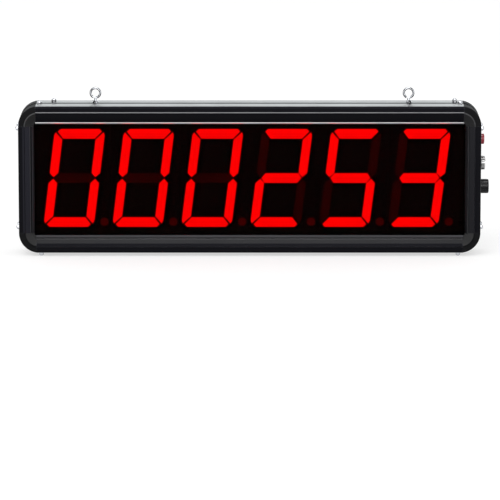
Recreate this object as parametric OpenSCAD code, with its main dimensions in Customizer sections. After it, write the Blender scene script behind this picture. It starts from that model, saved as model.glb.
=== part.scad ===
// Hanging counter display: six seven-segment digits behind a tinted lens, in a frame of
// extruded rails and moulded corner pieces, with two wire eyes on top and three controls
// on its right side.
// X runs to the right, Y to the rear and Z up. The origin is the centre of the rear face.
// In the sections, n runs inward from an outer face and d runs back from the front band.

/* [Frame] */
// Outer width of the frame
frame_w = 480; // [440:1:540]
// Outer height of the frame
frame_h = 154; // [140:1:180]
// Depth from the front band to the rear face
frame_depth = 45; // [44:1:60]
// Thickness of the outer wall of rails and corner pieces
wall = 2; // [1.8:0.1:2.4]
// Thickness of the webs, lips and flanges inside the rails
web = 1.4; // [1.2:0.1:1.6]
// Radius of the outer front edge
front_edge_r = 2; // [1:0.1:2.4]
// Outer radius of the corner pieces
corner_r = 21; // [20:0.5:23]
// Width of a corner piece along the top and bottom rails
corner_w = 18.2; // [18:0.1:19]
// Width of the flat outer band on the front
band_w = 6.3; // [5:0.1:7]
// Height of the ridge over the outer band
ridge_rise = 1.2; // [0.6:0.1:1.6]
// Width of the ridge's crest
ridge_flat = 0.5; // [0.3:0.1:1]
// Width of the ridge's outer flank
ridge_run = 0.6; // [0.4:0.1:1]
// Depth of the dished face's foot behind the outer band
dish_drop = 1.6; // [1:0.1:1.8]
// Width of the crest of the bead round the lens
bead_flat = 0.5; // [0.3:0.1:0.8]
// Width of the bead's inner flank
bead_flank = 1.6; // [1.2:0.1:1.8]
// Depth of the bead's inner edge behind the outer band
bead_foot = 1.8; // [1.2:0.1:2.2]
// Width of the front face on the side rails
face_side = 16.5; // [16.4:0.1:17.8]
// Width of the front face on the top and bottom rails
face_top = 18.6; // [18:0.1:19.4]
// Width of the groove along the outside
groove_w = 6; // [5.4:0.1:7]
// Depth of that groove
groove_deep = 0.8; // [0.4:0.1:1]
// Distance of the groove's middle from the front band
groove_at = 24.5; // [23:0.5:26]
// Length of the lips that stiffen the rear of a rail
lip_len = 4.6; // [3.6:0.1:5]

/* [Corner tongues] */
// Length of the level tongues inside the top and bottom rails
tongue_len = 21.8; // [21.4:0.1:24]
// Length of the upright tongues inside the side rails
side_tongue_len = 7.6; // [7:0.1:8]
// Thickness of the tongues' plates
tongue_t = 2.4; // [2:0.1:3]
// Height of the tongues' screw bosses
boss_h = 7.7; // [7:0.1:8]
// Depth of a screw boss along the rail's depth
boss_d = 8; // [6:0.5:9]
// Clearance between a tongue and its rail
tongue_fit = 0.2; // [0.1:0.05:0.3]

/* [Lens] */
// Thickness of the lens
lens_t = 3; // [2:0.1:3.1]
// Distance of the lens's front from the front band
lens_front = 3; // [2.8:0.1:3.4]
// Width of the slot that holds the lens
lens_slot = 3.3; // [3.2:0.1:3.6]
// Distance of the lens's edge from the outer faces
lens_edge = 11; // [10.8:0.1:12]
// Gap between the lens's edge and the slot's floor
lens_side_fit = 0.4; // [0.2:0.1:0.5]
// Gap between the lens's front and the corner pieces
lens_front_fit = 0.2; // [0.1:0.05:0.3]

/* [Rear cover] */
// Thickness of the rear cover
cover_t = 1.5; // [1.4:0.1:2]
// Gap between the rear cover and the outer walls
cover_fit = 0.3; // [0.2:0.1:0.6]
// Distance of the cover's screws from the outer faces
cover_screw_in = 6.5; // [6:0.5:7.5]
// Distance of the cover's end screws from the frame's sides
cover_end = 48; // [46:1:80]
// Number of the cover's screws along the top and along the bottom
cover_screw_count = 5; // [3:1:7]
// Distance of the cover's side screws from the frame's top and bottom
cover_side_in = 49; // [40:1:57]

/* [Screws] */
// Diameter of the frame screws' heads
head_d = 5; // [4.6:0.1:5.2]
// Height of those heads
head_h = 3.6; // [1.4:0.1:4]
// Radius of the domes of those heads
dome_r = 3; // [2.8:0.1:4]
// Diameter of the frame screws' shanks
shank_d = 2.5; // [2.2:0.1:2.8]
// Length of those shanks
shank_len = 7; // [6:0.5:7.5]
// Length of the arms of a screw's cross recess, from tip to tip
recess_len = 2.6; // [2:0.1:3]
// Width of the arms of that recess
recess_w = 0.6; // [0.4:0.1:0.8]
// Depth of that recess
recess_deep = 0.9; // [0.5:0.1:1.1]
// Radial clearance round a shank in the rail's wall
shank_fit = 0.4; // [0.2:0.1:0.5]
// Radial clearance of nuts, washers and threads on a shank
thread_fit = 0.05; // [0.03:0.01:0.1]
// Distance of the rear row of frame screws from the rear face
rear_row_in = 8.5; // [8:0.5:9.5]
// Distance of the lower front row from the front band
front_row = 4.4; // [4.3:0.1:4.5]
// Distance of the side rails' front row from the front band
side_row = 16; // [13:0.5:18]
// Distance of the top front screws from their corner piece's end
top_screw_past = 3; // [2.8:0.1:4]
// Distance of the lower front screws from their corner piece's end
low_screw_past = 5; // [3.6:0.1:6]
// Distance of the top rail's left rear screw from its corner piece's end
left_screw_past = 17.6; // [14:0.1:18]
// Distance of the top rail's right rear screw from its corner piece's end
right_screw_past = 8; // [7:0.1:18]
// Distance of the bottom rail's rear screws from their corner piece's end
rear_screw_past = 12.1; // [10:0.1:18]
// Distance of the side screws from their corner piece's end
side_screw_past = 3.9; // [3.6:0.1:4.2]
// Length of the small board and cover screws' shanks
small_len = 5; // [4:0.5:5.5]

/* [Eye bolts] */
// Distance of each eye from the frame's side
eye_in = 77; // [60:1:110]
// Shift of both eyes to the right
eye_shift = 2.4; // [0:0.1:4]
// Distance of the eyes from the front band
eye_d = 30; // [29:0.5:31]
// Radius of the ring at the middle of its wire
ring_r = 5; // [4.6:0.1:6]
// Angle that the ring's wire runs through, in degrees
ring_turn = 336; // [320:2:344]
// Diameter of the wire
wire_d = 2.4; // [2:0.1:2.8]
// Height of the neck between the nut and the ring
eye_neck = 1.4; // [0.4:0.1:3]
// Diameter of the threaded shank
eye_shank = 3; // [2.8:0.1:3.4]
// Reach of the shank past its lower nut
eye_past = 1.5; // [0.5:0.1:3]
// Radial clearance of the shank in the top rail
eye_fit = 0.15; // [0.1:0.05:0.4]
// Width of the eye nuts across their flats
eye_nut_af = 5.5; // [5.2:0.1:6.5]
// Thickness of the eye nuts
eye_nut_h = 2; // [1.8:0.1:2.4]
// Diameter of the eye washers
eye_washer_d = 7; // [6.8:0.1:8]
// Thickness of the eye washers
eye_washer_t = 0.5; // [0.4:0.1:0.8]

/* [Digits] */
// Number shown by each module, from left to right
shown = [0, 0, 0, 2, 5, 3];
// Distance of the end modules from the side rails' faces
module_side = 8.4; // [7.5:0.1:9]
// Distance of the modules from the faces of the top and bottom rails
module_over = 2.4; // [1.9:0.1:3.4]
// Gap between neighbouring modules
module_gap = 0.3; // [0.1:0.1:0.6]
// Depth of a module's housing
module_t = 12; // [8:0.5:12.4]
// Distance of the modules' fronts from the front band
module_front = 8; // [7.9:0.1:8.4]
// Height of the modules' middle over the frame's middle
module_rise = 0.8; // [0:0.1:1]
// Height of the housing's rim over and under a digit
digit_rim = 4.5; // [4:0.1:8]
// Gap between neighbouring digits, from one's upper right to the next one's lower left
digit_gap = 6.6; // [6.4:0.1:12.8]
// Shift of a digit to the left in its module
digit_shift = 3; // [2:0.5:3.4]
// Slant of the digits in degrees
slant = 7.1; // [4:0.1:7.4]
// Width of the upright segments
upright_w = 8.8; // [8:0.1:11]
// Width of the level segments
level_w = 10.1; // [9:0.1:12]
// Gap between neighbouring segments
segment_gap = 1.4; // [1:0.1:2]
// Cut at a digit's outer corners
bevel = 2.8; // [2:0.1:3.4]
// Clearance round each segment in its window
segment_fit = 0.1; // [0.05:0.05:0.2]
// Depth of the segments' faces behind the housing's front
segment_inset = 0.4; // [0.2:0.1:0.8]
// Diameter of the decimal point
point_d = 8.4; // [6:0.2:9]
// Distance of the decimal point's middle from the digit's right side
point_past = 4.85; // [4.5:0.05:5.8]
// Height of the decimal point over the digit's foot
point_rise = 5.4; // [5:0.2:8]

/* [Boards] */
// Thickness of the circuit boards
board_t = 1.6; // [1.2:0.1:1.8]
// Reach of the display board past the modules at each end
display_margin = 9.9; // [9.5:0.1:10.2]
// Reach of the display board over and under the modules
display_over = 4; // [2:0.1:5]
// Distance of the display board's screws from its ends
display_screw_in = 5; // [4:0.5:5.5]
// Distance of those screws from its upper and lower edges
display_screw_down = 10; // [8:1:20]
// Width of the standoffs across their flats
standoff_af = 5.5; // [5:0.1:6]
// Height of the short standoffs on the rear cover
short_standoff = 5; // [4.4:0.1:6]
// Width of the control board
control_w = 150; // [130:1:160]
// Height of the control board
control_h = 82; // [76:1:90]
// Distance of the control board from the frame's right side
control_in = 47; // [43:1:55]
// Width of the power supply board
supply_w = 118; // [110:1:130]
// Height of the power supply board
supply_h = 62; // [58:1:70]
// Distance of the power supply board from the frame's left side
supply_in = 77; // [60:1:85]
// Distance of the short standoffs from the boards' edges
board_screw_in = 5; // [4.5:0.5:6]
// Radial clearance of a screw in a board
board_fit = 0.2; // [0.1:0.05:0.4]

/* [Board parts] */
// Height of the tallest parts on both rear boards
parts_h = 10; // [8:0.5:10.5]
// Height of the lower parts
low_parts_h = 9; // [6:0.5:9]
// Width of a chip
chip_w = 10; // [7:0.5:11]
// Length of a chip
chip_len = 26; // [16:1:28]
// Height of a chip
chip_t = 3.2; // [1:0.1:4]
// Diameter of the smaller capacitors
small_cap_d = 8; // [5:0.5:9]
// Diameter of the larger capacitors
large_cap_d = 10; // [8:0.5:12]
// Width of the transformer
transformer_w = 26; // [20:1:28]
// Height of the transformer along its board
transformer_h = 22; // [16:1:26]
// Depth of the notches in the transformer's sides
transformer_notch = 3; // [1:0.5:4]
// Number of the heat sink's fins
fin_count = 6; // [3:1:6]
// Distance from one fin to the next
fin_pitch = 3; // [2:0.1:3.2]
// Thickness of a fin
fin_t = 1; // [0.8:0.1:1.4]
// Thickness of the heat sink's base
sink_base = 2; // [1:0.1:3]
// Length of the heat sink
sink_len = 34; // [24:1:40]
// Number of ways of the terminal block
terminal_ways = 6; // [2:1:8]
// Distance from one way to the next
terminal_pitch = 5; // [3.5:0.1:5.5]
// Width of the terminal block
terminal_w = 9; // [7:0.5:10]
// Distance of the terminal block's middle from its board's right edge
terminal_in = 17; // [15:0.5:18]
// Diameter of the holes for wires and screws in the terminal block
terminal_hole = 2.8; // [2:0.1:3]
// Depth of those holes
terminal_deep = 2.5; // [1:0.1:3]
// Width of the ribbon headers
header_w = 6; // [5:0.5:8]
// Height of the ribbon headers
header_h = 4.6; // [3:0.1:5]
// Reach of the headers past the ribbon's edges
header_past = 2; // [1:0.1:4]
// Width of the ribbon cable
ribbon_w = 20; // [16:1:26]
// Thickness of the ribbon cable
ribbon_t = 0.9; // [0.8:0.1:1.2]
// Distance of the display board's header from the control board's left edge
ribbon_out = 34; // [30:1:36]
// Distance of the control board's header from that edge
ribbon_in = 8; // [7:0.5:10]

/* [Side controls] */
// Distance of the side controls from the front band
side_d = 24.5; // [24:0.5:25.5]
// Distance of the button's middle from the right rail's upper end
button_down = 16.5; // [16:0.1:17.4]
// Distance of the signal socket's middle under the button's
socket_down = 25.2; // [24.4:0.1:26]
// Distance of the power inlet's middle under the signal socket's
inlet_down = 24.7; // [24:0.1:26]
// Radial clearance of the controls in the right rail
panel_fit = 0.2; // [0.1:0.05:0.3]
// Length of the rear threads of the sockets behind the right face
rear_thread_in = 12; // [11:0.5:13]
// Thickness of the controls' nuts
nut_t = 2.4; // [2:0.1:2.6]
// Depth of the sockets' ledges behind the right face
insert_seat = 8; // [7:0.5:9]
// Width of those ledges
insert_ledge = 0.7; // [0.5:0.1:0.9]
// Depth of the inserts' fronts behind the right face
insert_top = 3; // [2:0.5:4]
// Diameter of a contact pin
pin_d = 1; // [0.8:0.1:1.2]
// Length of the pins before their insert
pin_len = 6; // [4:0.5:6.5]
// Radial clearance of a pin in its insert
pin_fit = 0.03; // [0.02:0.01:0.05]

/* [Reset button] */
// Diameter of the button's cap
cap_d = 11; // [10:0.1:11.4]
// Reach of the cap past the right face at rest
cap_out = 4.2; // [3.2:0.1:6.5]
// Radius of the cap's outer edge
cap_edge = 1; // [0.5:0.1:1.5]
// Depth of the cap's foot behind the right face
cap_foot = 5; // [4.5:0.1:5.2]
// Travel of the cap
cap_travel = 1.8; // [1:0.1:2]
// Gap between the cap and its bushing
cap_fit = 0.3; // [0.25:0.05:0.4]
// Diameter of the bezel
bezel_d = 13.4; // [13.2:0.1:14]
// Thickness of the bezel
bezel_t = 0.8; // [0.6:0.1:1.2]
// Wall of the button's bushing
bushing_wall = 0.6; // [0.5:0.05:0.7]
// Depth of the bushing's bore behind the right face
bore_deep = 10; // [9.8:0.1:10.5]
// Thickness of the bushing's floor
bushing_floor = 2; // [1.5:0.1:2.5]
// Width of the button's nut across its flats
button_nut_af = 15.4; // [15:0.1:15.8]
// Diameter of the cap's stem
stem_d = 3; // [2.6:0.1:3.4]
// Radial clearance of the stem in the bushing's floor
stem_fit = 0.1; // [0.05:0.05:0.2]
// Thickness of the collar that keeps the cap in its bushing
collar_t = 1.2; // [0.8:0.1:2]
// Reach of that collar past the stem
collar_past = 0.8; // [0.5:0.1:1.2]
// Gap between that collar and the bushing's floor
collar_gap = 0.05; // [0.03:0.01:0.1]
// Gap between the stem and the spring
spring_gap = 1.6; // [1:0.1:1.8]
// Gap between the spring and the pressed cap
spring_play = 0.1; // [0.05:0.05:0.2]
// Diameter of the spring's wire
spring_wire = 0.5; // [0.4:0.05:0.6]
// Turns of the spring
spring_turns = 4; // [3:1:4]

/* [Signal socket] */
// Outer diameter of its threaded collar
socket_d = 15.2; // [14.6:0.1:15.6]
// Reach of the collar past the right face
socket_out = 5.2; // [4:0.1:8]
// Chamfer of the collar's mouth
socket_chamfer = 0.4; // [0.2:0.1:0.8]
// Diameter of its rear thread
socket_rear_d = 12.6; // [12.2:0.1:13]
// Diameter of its bore
socket_bore = 10.4; // [10:0.1:10.8]
// Width of its nut across the flats
socket_nut_af = 17; // [16:0.5:18]
// Number of its contact pins
socket_pins = 4; // [3:1:6]
// Radius of the circle of pins
socket_pin_circle = 3; // [2.4:0.1:3.4]

/* [Power inlet] */
// Diameter of its flange
inlet_flange_d = 17.1; // [16.6:0.1:18]
// Thickness of its flange
inlet_flange_t = 1; // [0.8:0.1:1.4]
// Outer diameter of its ribbed body
inlet_d = 15; // [14.6:0.1:15.6]
// Reach of the body past the right face
inlet_out = 9.2; // [7.5:0.1:12]
// Radius of the body's outer edge
inlet_edge = 1.2; // [0.8:0.1:1.6]
// Number of grooves round the body
inlet_grooves = 20; // [12:2:24]
// Radius of those grooves
inlet_groove_r = 0.5; // [0.3:0.1:0.7]
// Distance of the grooves from the flange
inlet_groove_from = 0.8; // [0.5:0.1:1.5]
// Distance of the grooves from the body's end
inlet_groove_end = 1.6; // [1.2:0.1:2]
// Diameter of its rear thread
inlet_rear_d = 13; // [12.6:0.1:13.4]
// Diameter of its bore
inlet_bore = 10.4; // [10:0.1:10.8]
// Width of its nut across the flats
inlet_nut_af = 17; // [16:0.5:18]
// Number of its contact pins
inlet_pins = 3; // [2:1:4]
// Radius of the circle of pins
inlet_pin_circle = 2.8; // [2.4:0.1:3.4]

/* [Hidden] */
DIGITS = [for (i = [0 : len(shown) - 1]) i];
$fn = 64;

// Reach of cuts past the faces they open, and overlap of bodies that are joined
past = 1;
join = 0.1;

// Half sizes of the frame, and the middle of a corner's arc
half_w = frame_w / 2;
half_h = frame_h / 2;
axis_x = half_w - corner_r;
axis_z = half_h - corner_r;

// Depths behind the front band, from front to rear
fan_back = lens_front - lens_front_fit;
slot_rear = lens_front + lens_slot;
web_rear = slot_rear + web;
cover_front = frame_depth - cover_t;
flange_front = cover_front - web;
module_rear = module_front + module_t;
board_rear = module_rear + board_t;
rear_board_d = cover_front - short_standoff - board_t;

// Places across a rail's section, inward from its outer face
slot_floor = lens_edge - lens_side_fit;
chamber_end = slot_floor - web;
channel_w = wall + tongue_fit + boss_h + tongue_fit;
channel_end = channel_w + web;

// The front face: width of the bead, ends of ridge and dish, rail's lip and front wall
bead_w = dish_drop + bead_flat + bead_flank;
ridge_end = band_w + ridge_run + ridge_flat;
lip_back = 1;
chamber_front = 2.2;
fan_foot = (face_side + face_top) / 2 - bead_w;

// Frame screws at one end of a rail, each as its distance from the front band and from the
// corner piece's end
rear_row = frame_depth - rear_row_in;
top_left_rows = [[groove_at, top_screw_past], [rear_row, left_screw_past]];
top_right_rows = [[groove_at, top_screw_past], [rear_row, right_screw_past]];
bottom_rows = [[front_row, low_screw_past], [rear_row, rear_screw_past]];
side_rows = [[side_row, side_screw_past], [rear_row, side_screw_past]];

// Places of the rear cover's screws and of the eyes, from the middle of the frame
cover_step = (frame_w - 2 * cover_end) / (cover_screw_count - 1);
level_cover_x = [for (i = [0 : cover_screw_count - 1]) cover_end - half_w + i * cover_step];
side_cover_z = half_h - cover_side_in;
cover_screw_spots = concat(
    [for (x = level_cover_x, s = [-1, 1]) [x, s * (half_h - cover_screw_in)]],
    [for (s = [-1, 1], z = [-1, 1]) [s * (half_w - cover_screw_in), z * side_cover_z]]);
eye_spots = [for (s = [-1, 1]) s * (half_w - eye_in) + eye_shift];
// Height of the washer and nut on one face, and of a ring's middle over the top face
eye_stack = eye_washer_t + eye_nut_h;
ring_z = eye_stack + eye_neck + wire_d / 2 + ring_r;

// The modules fill the face between the rails, and the digits fill their modules
module_pitch = (frame_w - 2 * face_side - 2 * module_side) / len(shown);
module_h = frame_h - 2 * face_top - 2 * module_over;
digit_h = module_h - 2 * digit_rim;
digit_w = module_pitch - digit_gap - digit_h * tan(slant);
point_x = digit_w / 2 + point_past;
// Shares of a bevel, of a segment's width and of its clearance that shape the segments' ends
tip_share = 0.95;
shoulder_share = 1.2;
nose_share = 0.75;
grow_share = 1.3;
// Segments that are lit for each figure, by their usual letters
LIT = ["abcdef", "bc", "abged", "abgcd", "fgbc", "afgcd", "afgedc", "abc", "abcdefg", "abcdfg"];

// Display board, the middles of the rear boards, and the places of all board screws
display_w = len(shown) * module_pitch + 2 * display_margin;
display_h = module_h + 2 * display_over;
display_spots = [for (x = [-1, 1], z = [-1, 1]) [x * (display_w / 2 - display_screw_in),
    module_rise + z * (display_h / 2 - display_screw_down)]];
control_x = half_w - control_in - control_w / 2;
supply_x = supply_in + supply_w / 2 - half_w;
control_spots = board_spots(control_x, control_w, control_h);
supply_spots = board_spots(supply_x, supply_w, supply_h);
// Places of the parts, as shares of the width and height of their board
upright_chips = [[-0.16, 0.17], [0.04, 0.17]];
level_chip = [-0.07, -0.24];
control_caps = [[0.21, 0.27], [0.21, -0.27]];
supply_caps = [[0.22, 0.23], [0.22, -0.16]];
transformer_at = -0.085;
sink_at = -0.32;
// Shares of the transformer's height taken by a side notch
notch_share = 0.55;
// Middles of the ribbon's headers
ribbon_from = control_x - control_w / 2 - ribbon_out;
ribbon_to = control_x - control_w / 2 + ribbon_in;
ribbon_steps = 12;

// Heights of the side controls, and radii of the button's cap and bushing
button_z = axis_z - button_down;
socket_z = button_z - socket_down;
inlet_z = socket_z - inlet_down;
cap_r = cap_d / 2;
bushing_r = cap_r + cap_fit + bushing_wall;
// Sides of the spring's wire, and steps in one turn
wire_sides = 6;
turn_steps = 14;

// Finishes
anodised = [0.10, 0.10, 0.12];
moulded = [0.20, 0.20, 0.21];
steel = [0.78, 0.78, 0.80];
painted = [0.30, 0.30, 0.31];
black = [0.08, 0.08, 0.09];
tinted = [0.25, 0.02, 0.03, 0.6];
lit_red = [1, 0.02, 0.02];
dark_red = [0.16, 0, 0];
cap_red = [0.85, 0.05, 0.06];
board_green = [0.05, 0.30, 0.16];
block_green = [0.10, 0.35, 0.20];
sleeve_blue = [0.15, 0.16, 0.30];
tape_yellow = [0.80, 0.70, 0.20];
aluminium = [0.72, 0.72, 0.74];
ribbon_grey = [0.55, 0.55, 0.58];
brass = [0.85, 0.68, 0.30];

// Puts a section, drawn as n by d and extruded along its rail, against the left face
module on_left(len) {
    translate([-half_w, -frame_depth, -len / 2]) linear_extrude(len) children();
}

// Puts a section, drawn as n by d and extruded along its rail, under the top face
module under_top(len) {
    translate([-len / 2, -frame_depth, half_h])
        rotate([0, 90, 0]) linear_extrude(len) children();
}

// A cylinder that runs to the rear from y
module bar_y(x, y, z, r, len) {
    translate([x, y, z]) rotate([-90, 0, 0]) cylinder(r = r, h = len);
}

// A cylinder that runs to the right from x
module bar_x(x, y, z, r, len) {
    translate([x, y, z]) rotate([0, 90, 0]) cylinder(r = r, h = len);
}

// A hexagonal bar that runs up from the origin, af wide across its flats
module hex_bar(af, len) {
    rotate([0, 0, 30]) cylinder(r = af / sqrt(3), h = len, $fn = 6);
}

// A board or block from its middle in X and Z, its front depth and its three sizes
module block(x, d, z, w, t, h) {
    translate([x - w / 2, d - frame_depth, z - h / 2]) cube([w, t, h]);
}

// Rectangle with round corners, about the origin
module round_rect(w, h, r) {
    square([w - 2 * r, h], center = true);
    square([w, h - 2 * r], center = true);
    for (x = [-1, 1]) {
        for (y = [-1, 1]) {
            translate([x * (w / 2 - r), y * (h / 2 - r)]) circle(r);
        }
    }
}

// Cuts the round outer front edge and the outside groove from a section
module outer_cuts() {
    difference() {
        translate([-past, -past]) square(front_edge_r + past);
        translate([front_edge_r, front_edge_r]) circle(front_edge_r);
    }
    translate([-past, groove_at - groove_w / 2]) square([groove_deep + past, groove_w]);
}

// Front contour up to the ridge's crest, shared by rails and corner pieces
function ridge_points() = [
    [0, 0], [band_w, 0], [band_w + ridge_run, -ridge_rise], [ridge_end, -ridge_rise]];

// Section of a rail whose front face is w wide
module rail_section(w) {
    flank = w - bead_flank;
    crest = flank - bead_flat;
    lip = w - lip_back;
    difference() {
        union() {
            polygon(concat(ridge_points(), [
                [w - bead_w, dish_drop], [crest, 0], [flank, 0], [w, bead_foot],
                [w, lens_front], [slot_floor, lens_front], [slot_floor, slot_rear],
                [lip, slot_rear], [lip, web_rear], [0, web_rear]]));
            square([wall, frame_depth]);
            translate([channel_w, web_rear - web]) square([web, lip_len + web]);
            translate([0, flange_front]) square([channel_end, web]);
            translate([channel_w, flange_front - lip_len]) square([web, lip_len + web]);
        }
        translate([wall, chamber_front])
            square([chamber_end - wall, slot_rear - chamber_front]);
        outer_cuts();
    }
}

// Section of a corner piece, from the outer face to the middle of its arc
module corner_section() {
    difference() {
        union() {
            polygon(concat(ridge_points(), [
                [fan_foot, dish_drop], [corner_r, dish_drop], [corner_r, fan_back],
                [wall, fan_back], [wall, frame_depth], [0, frame_depth]]));
            translate([0, flange_front]) square([channel_end, web]);
        }
        outer_cuts();
    }
}

// One tongue of a corner piece, drawn along X under the top face, with its screw bosses
module tongue(rows, from, to) {
    outer = wall + tongue_fit;
    len = to - from;
    translate([from, -frame_depth, 0]) {
        translate([0, web_rear + tongue_fit, -outer - tongue_t])
            cube([len, flange_front - web_rear - 2 * tongue_fit, tongue_t]);
        for (row = rows) {
            if (row[0] > web_rear) {
                translate([0, row[0] - boss_d / 2, -outer - boss_h]) cube([len, boss_d, boss_h]);
            }
        }
        translate([0, fan_back - join, tongue_fit - chamber_end])
            cube([len, slot_rear - tongue_fit - fan_back + join,
                  chamber_end - tongue_fit - outer]);
    }
}

// Holes for the screws of one tongue whose corner piece ends at end, drawn as the tongue is
module tongue_holes(rows, end) {
    for (row = rows) {
        translate([end + row[1], row[0] - frame_depth, -wall - boss_h - 2 * past])
            cylinder(r = shank_d / 2 + thread_fit, h = boss_h + wall + 3 * past);
    }
}

// Turns what is drawn under the top face into what lies inside the left face
module to_side() {
    mirror([1, 0, 1]) children();
}

// A corner piece at the top left, with the screw rows of its level and upright tongues
module corner(level_rows, upright_rows) {
    arc_r = corner_r - wall / 2;
    difference() {
        union() {
            intersection() {
                translate([-axis_x, -frame_depth, axis_z]) rotate([-90, 0, 0])
                    rotate([0, 0, 180]) rotate_extrude(angle = 90)
                        translate([corner_r, 0]) mirror([1, 0]) corner_section();
                translate([-half_w - past, -frame_depth - ridge_rise - past, axis_z])
                    cube([corner_w + past, frame_depth + ridge_rise + 2 * past,
                          corner_r + past]);
            }
            intersection() {
                translate([-half_w, 0, half_h]) {
                    tongue(level_rows, wall, corner_w + tongue_len);
                    to_side() tongue(upright_rows, wall, corner_r + side_tongue_len);
                }
                union() {
                    bar_y(-axis_x, -frame_depth, axis_z, arc_r, frame_depth);
                    translate([-axis_x, -frame_depth, axis_z - corner_r])
                        cube([corner_r, frame_depth, 2 * corner_r]);
                    translate([-axis_x - corner_r, -frame_depth, axis_z - corner_r])
                        cube([2 * corner_r, frame_depth, corner_r]);
                }
            }
        }
        translate([face_side - half_w, -frame_depth - ridge_rise - past,
                   half_h - face_top - corner_r])
            cube([corner_r, ridge_rise + past + fan_back + join, corner_r]);
        translate([-half_w, 0, half_h]) {
            tongue_holes(level_rows, corner_w);
            to_side() tongue_holes(upright_rows, corner_r);
        }
    }
}

// Distance of a frame screw's seat from the outer face
function seat(row) = row[0] == groove_at ? groove_deep : 0;

// Screws of a level rail from those of its left and right end, as [side, screw]
function both_ends(left_rows, right_rows) = concat(
    [for (row = left_rows) [-1, row]], [for (row = right_rows) [1, row]]);

// Place of one of those screws from the middle of the rail
function screw_x(end) = end[0] * (half_w - corner_w - end[1][1]);

// Level rail under the top face, with the screws of its two ends
module level_rail(ends) {
    difference() {
        under_top(frame_w - 2 * corner_w) rail_section(face_top);
        for (end = ends) {
            translate([screw_x(end), end[1][0] - frame_depth, half_h - wall - past])
                cylinder(r = shank_d / 2 + shank_fit, h = wall + 2 * past);
        }
        for (x = level_cover_x) {
            bar_y(x, -cover_t - web - past, half_h - cover_screw_in,
                  shank_d / 2 + thread_fit, web + 2 * past);
        }
    }
}

module top_rail() {
    color(anodised) difference() {
        level_rail(both_ends(top_left_rows, top_right_rows));
        for (x = eye_spots) {
            translate([x, eye_d - frame_depth, half_h - wall - past])
                cylinder(r = eye_shank / 2 + eye_fit, h = wall + 2 * past);
        }
    }
}

module bottom_rail() {
    color(anodised) mirror([0, 0, 1]) level_rail(both_ends(bottom_rows, bottom_rows));
}

// Upright rail against the left face
module side_rail() {
    difference() {
        on_left(2 * axis_z) rail_section(face_side);
        for (row = side_rows, s = [-1, 1]) {
            bar_x(-half_w - past, row[0] - frame_depth, s * (axis_z - row[1]),
                  shank_d / 2 + shank_fit, wall + 2 * past);
        }
        for (z = [-side_cover_z, side_cover_z]) {
            bar_y(-half_w + cover_screw_in, -cover_t - web - past, z,
                  shank_d / 2 + thread_fit, web + 2 * past);
        }
    }
}

module left_rail() {
    color(anodised) side_rail();
}

module right_rail() {
    color(anodised) difference() {
        mirror([1, 0, 0]) side_rail();
        on_right(button_z) through_hole(bushing_r + panel_fit);
        on_right(socket_z) through_hole(socket_rear_d / 2 + panel_fit);
        on_right(inlet_z) through_hole(inlet_rear_d / 2 + panel_fit);
    }
}

module corner_top_left() {
    color(moulded) corner(top_left_rows, side_rows);
}

module corner_top_right() {
    color(moulded) mirror([1, 0, 0]) corner(top_right_rows, side_rows);
}

module corner_bottom_left() {
    color(moulded) mirror([0, 0, 1]) corner(bottom_rows, side_rows);
}

module corner_bottom_right() {
    color(moulded) mirror([1, 0, 0]) mirror([0, 0, 1]) corner(bottom_rows, side_rows);
}

// Cross recess of a screw, cut down from the top of its head
module cross_recess() {
    for (turn = [0, 90]) {
        rotate([0, 0, turn]) translate([-recess_len / 2, -recess_w / 2, -recess_deep])
            cube([recess_len, recess_w, recess_deep + past]);
    }
}

// Pan-head screw that points down from its seat at the origin
module pan_screw(len) {
    difference() {
        union() {
            intersection() {
                cylinder(d = head_d, h = head_h);
                translate([0, 0, head_h - dome_r]) sphere(dome_r);
            }
            translate([0, 0, -len]) cylinder(d = shank_d, h = len + join);
        }
        translate([0, 0, head_h]) cross_recess();
    }
}

// Frame screws of a level rail on the top face, or of the left rail on the left face
module screws_on_top(ends) {
    for (end = ends) {
        translate([screw_x(end), end[1][0] - frame_depth, half_h - seat(end[1])])
            pan_screw(shank_len);
    }
}

module screws_on_left() {
    for (row = side_rows, s = [-1, 1]) {
        translate([seat(row) - half_w, row[0] - frame_depth, s * (axis_z - row[1])])
            rotate([0, -90, 0]) pan_screw(shank_len);
    }
}

module frame_screws() {
    color(steel) {
        screws_on_top(both_ends(top_left_rows, top_right_rows));
        mirror([0, 0, 1]) screws_on_top(both_ends(bottom_rows, bottom_rows));
        screws_on_left();
        mirror([1, 0, 0]) screws_on_left();
    }
}

module front_lens() {
    color(tinted)
        block(0, lens_front, 0, frame_w - 2 * lens_edge, lens_t, frame_h - 2 * lens_edge);
}

module rear_cover() {
    edge = wall + cover_fit;
    cone = head_d / 2 + thread_fit;
    hole = shank_d / 2 + thread_fit;
    color(painted) difference() {
        translate([0, -cover_t, 0]) rotate([-90, 0, 0]) linear_extrude(cover_t)
            round_rect(frame_w - 2 * edge, frame_h - 2 * edge, corner_r - edge);
        for (p = cover_screw_spots) {
            bar_y(p[0], -cover_t - past, p[1], hole, cover_t + 2 * past);
            translate([p[0], hole - cone, p[1]]) rotate([-90, 0, 0])
                cylinder(r1 = hole, r2 = cone, h = cone - hole);
        }
    }
}

// Countersunk screw that points to the front from the rear face
module cover_screw() {
    shank_r = shank_d / 2;
    cone_h = (head_d - shank_d) / 2;
    difference() {
        union() {
            translate([0, -cone_h, 0]) rotate([-90, 0, 0])
                cylinder(r1 = shank_r, r2 = head_d / 2, h = cone_h);
            bar_y(0, -small_len, 0, shank_r, small_len - cone_h / 2);
        }
        rotate([-90, 0, 0]) cross_recess();
    }
}

module cover_screws() {
    color(steel) for (p = cover_screw_spots) {
        translate([p[0], 0, p[1]]) cover_screw();
    }
}

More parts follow.
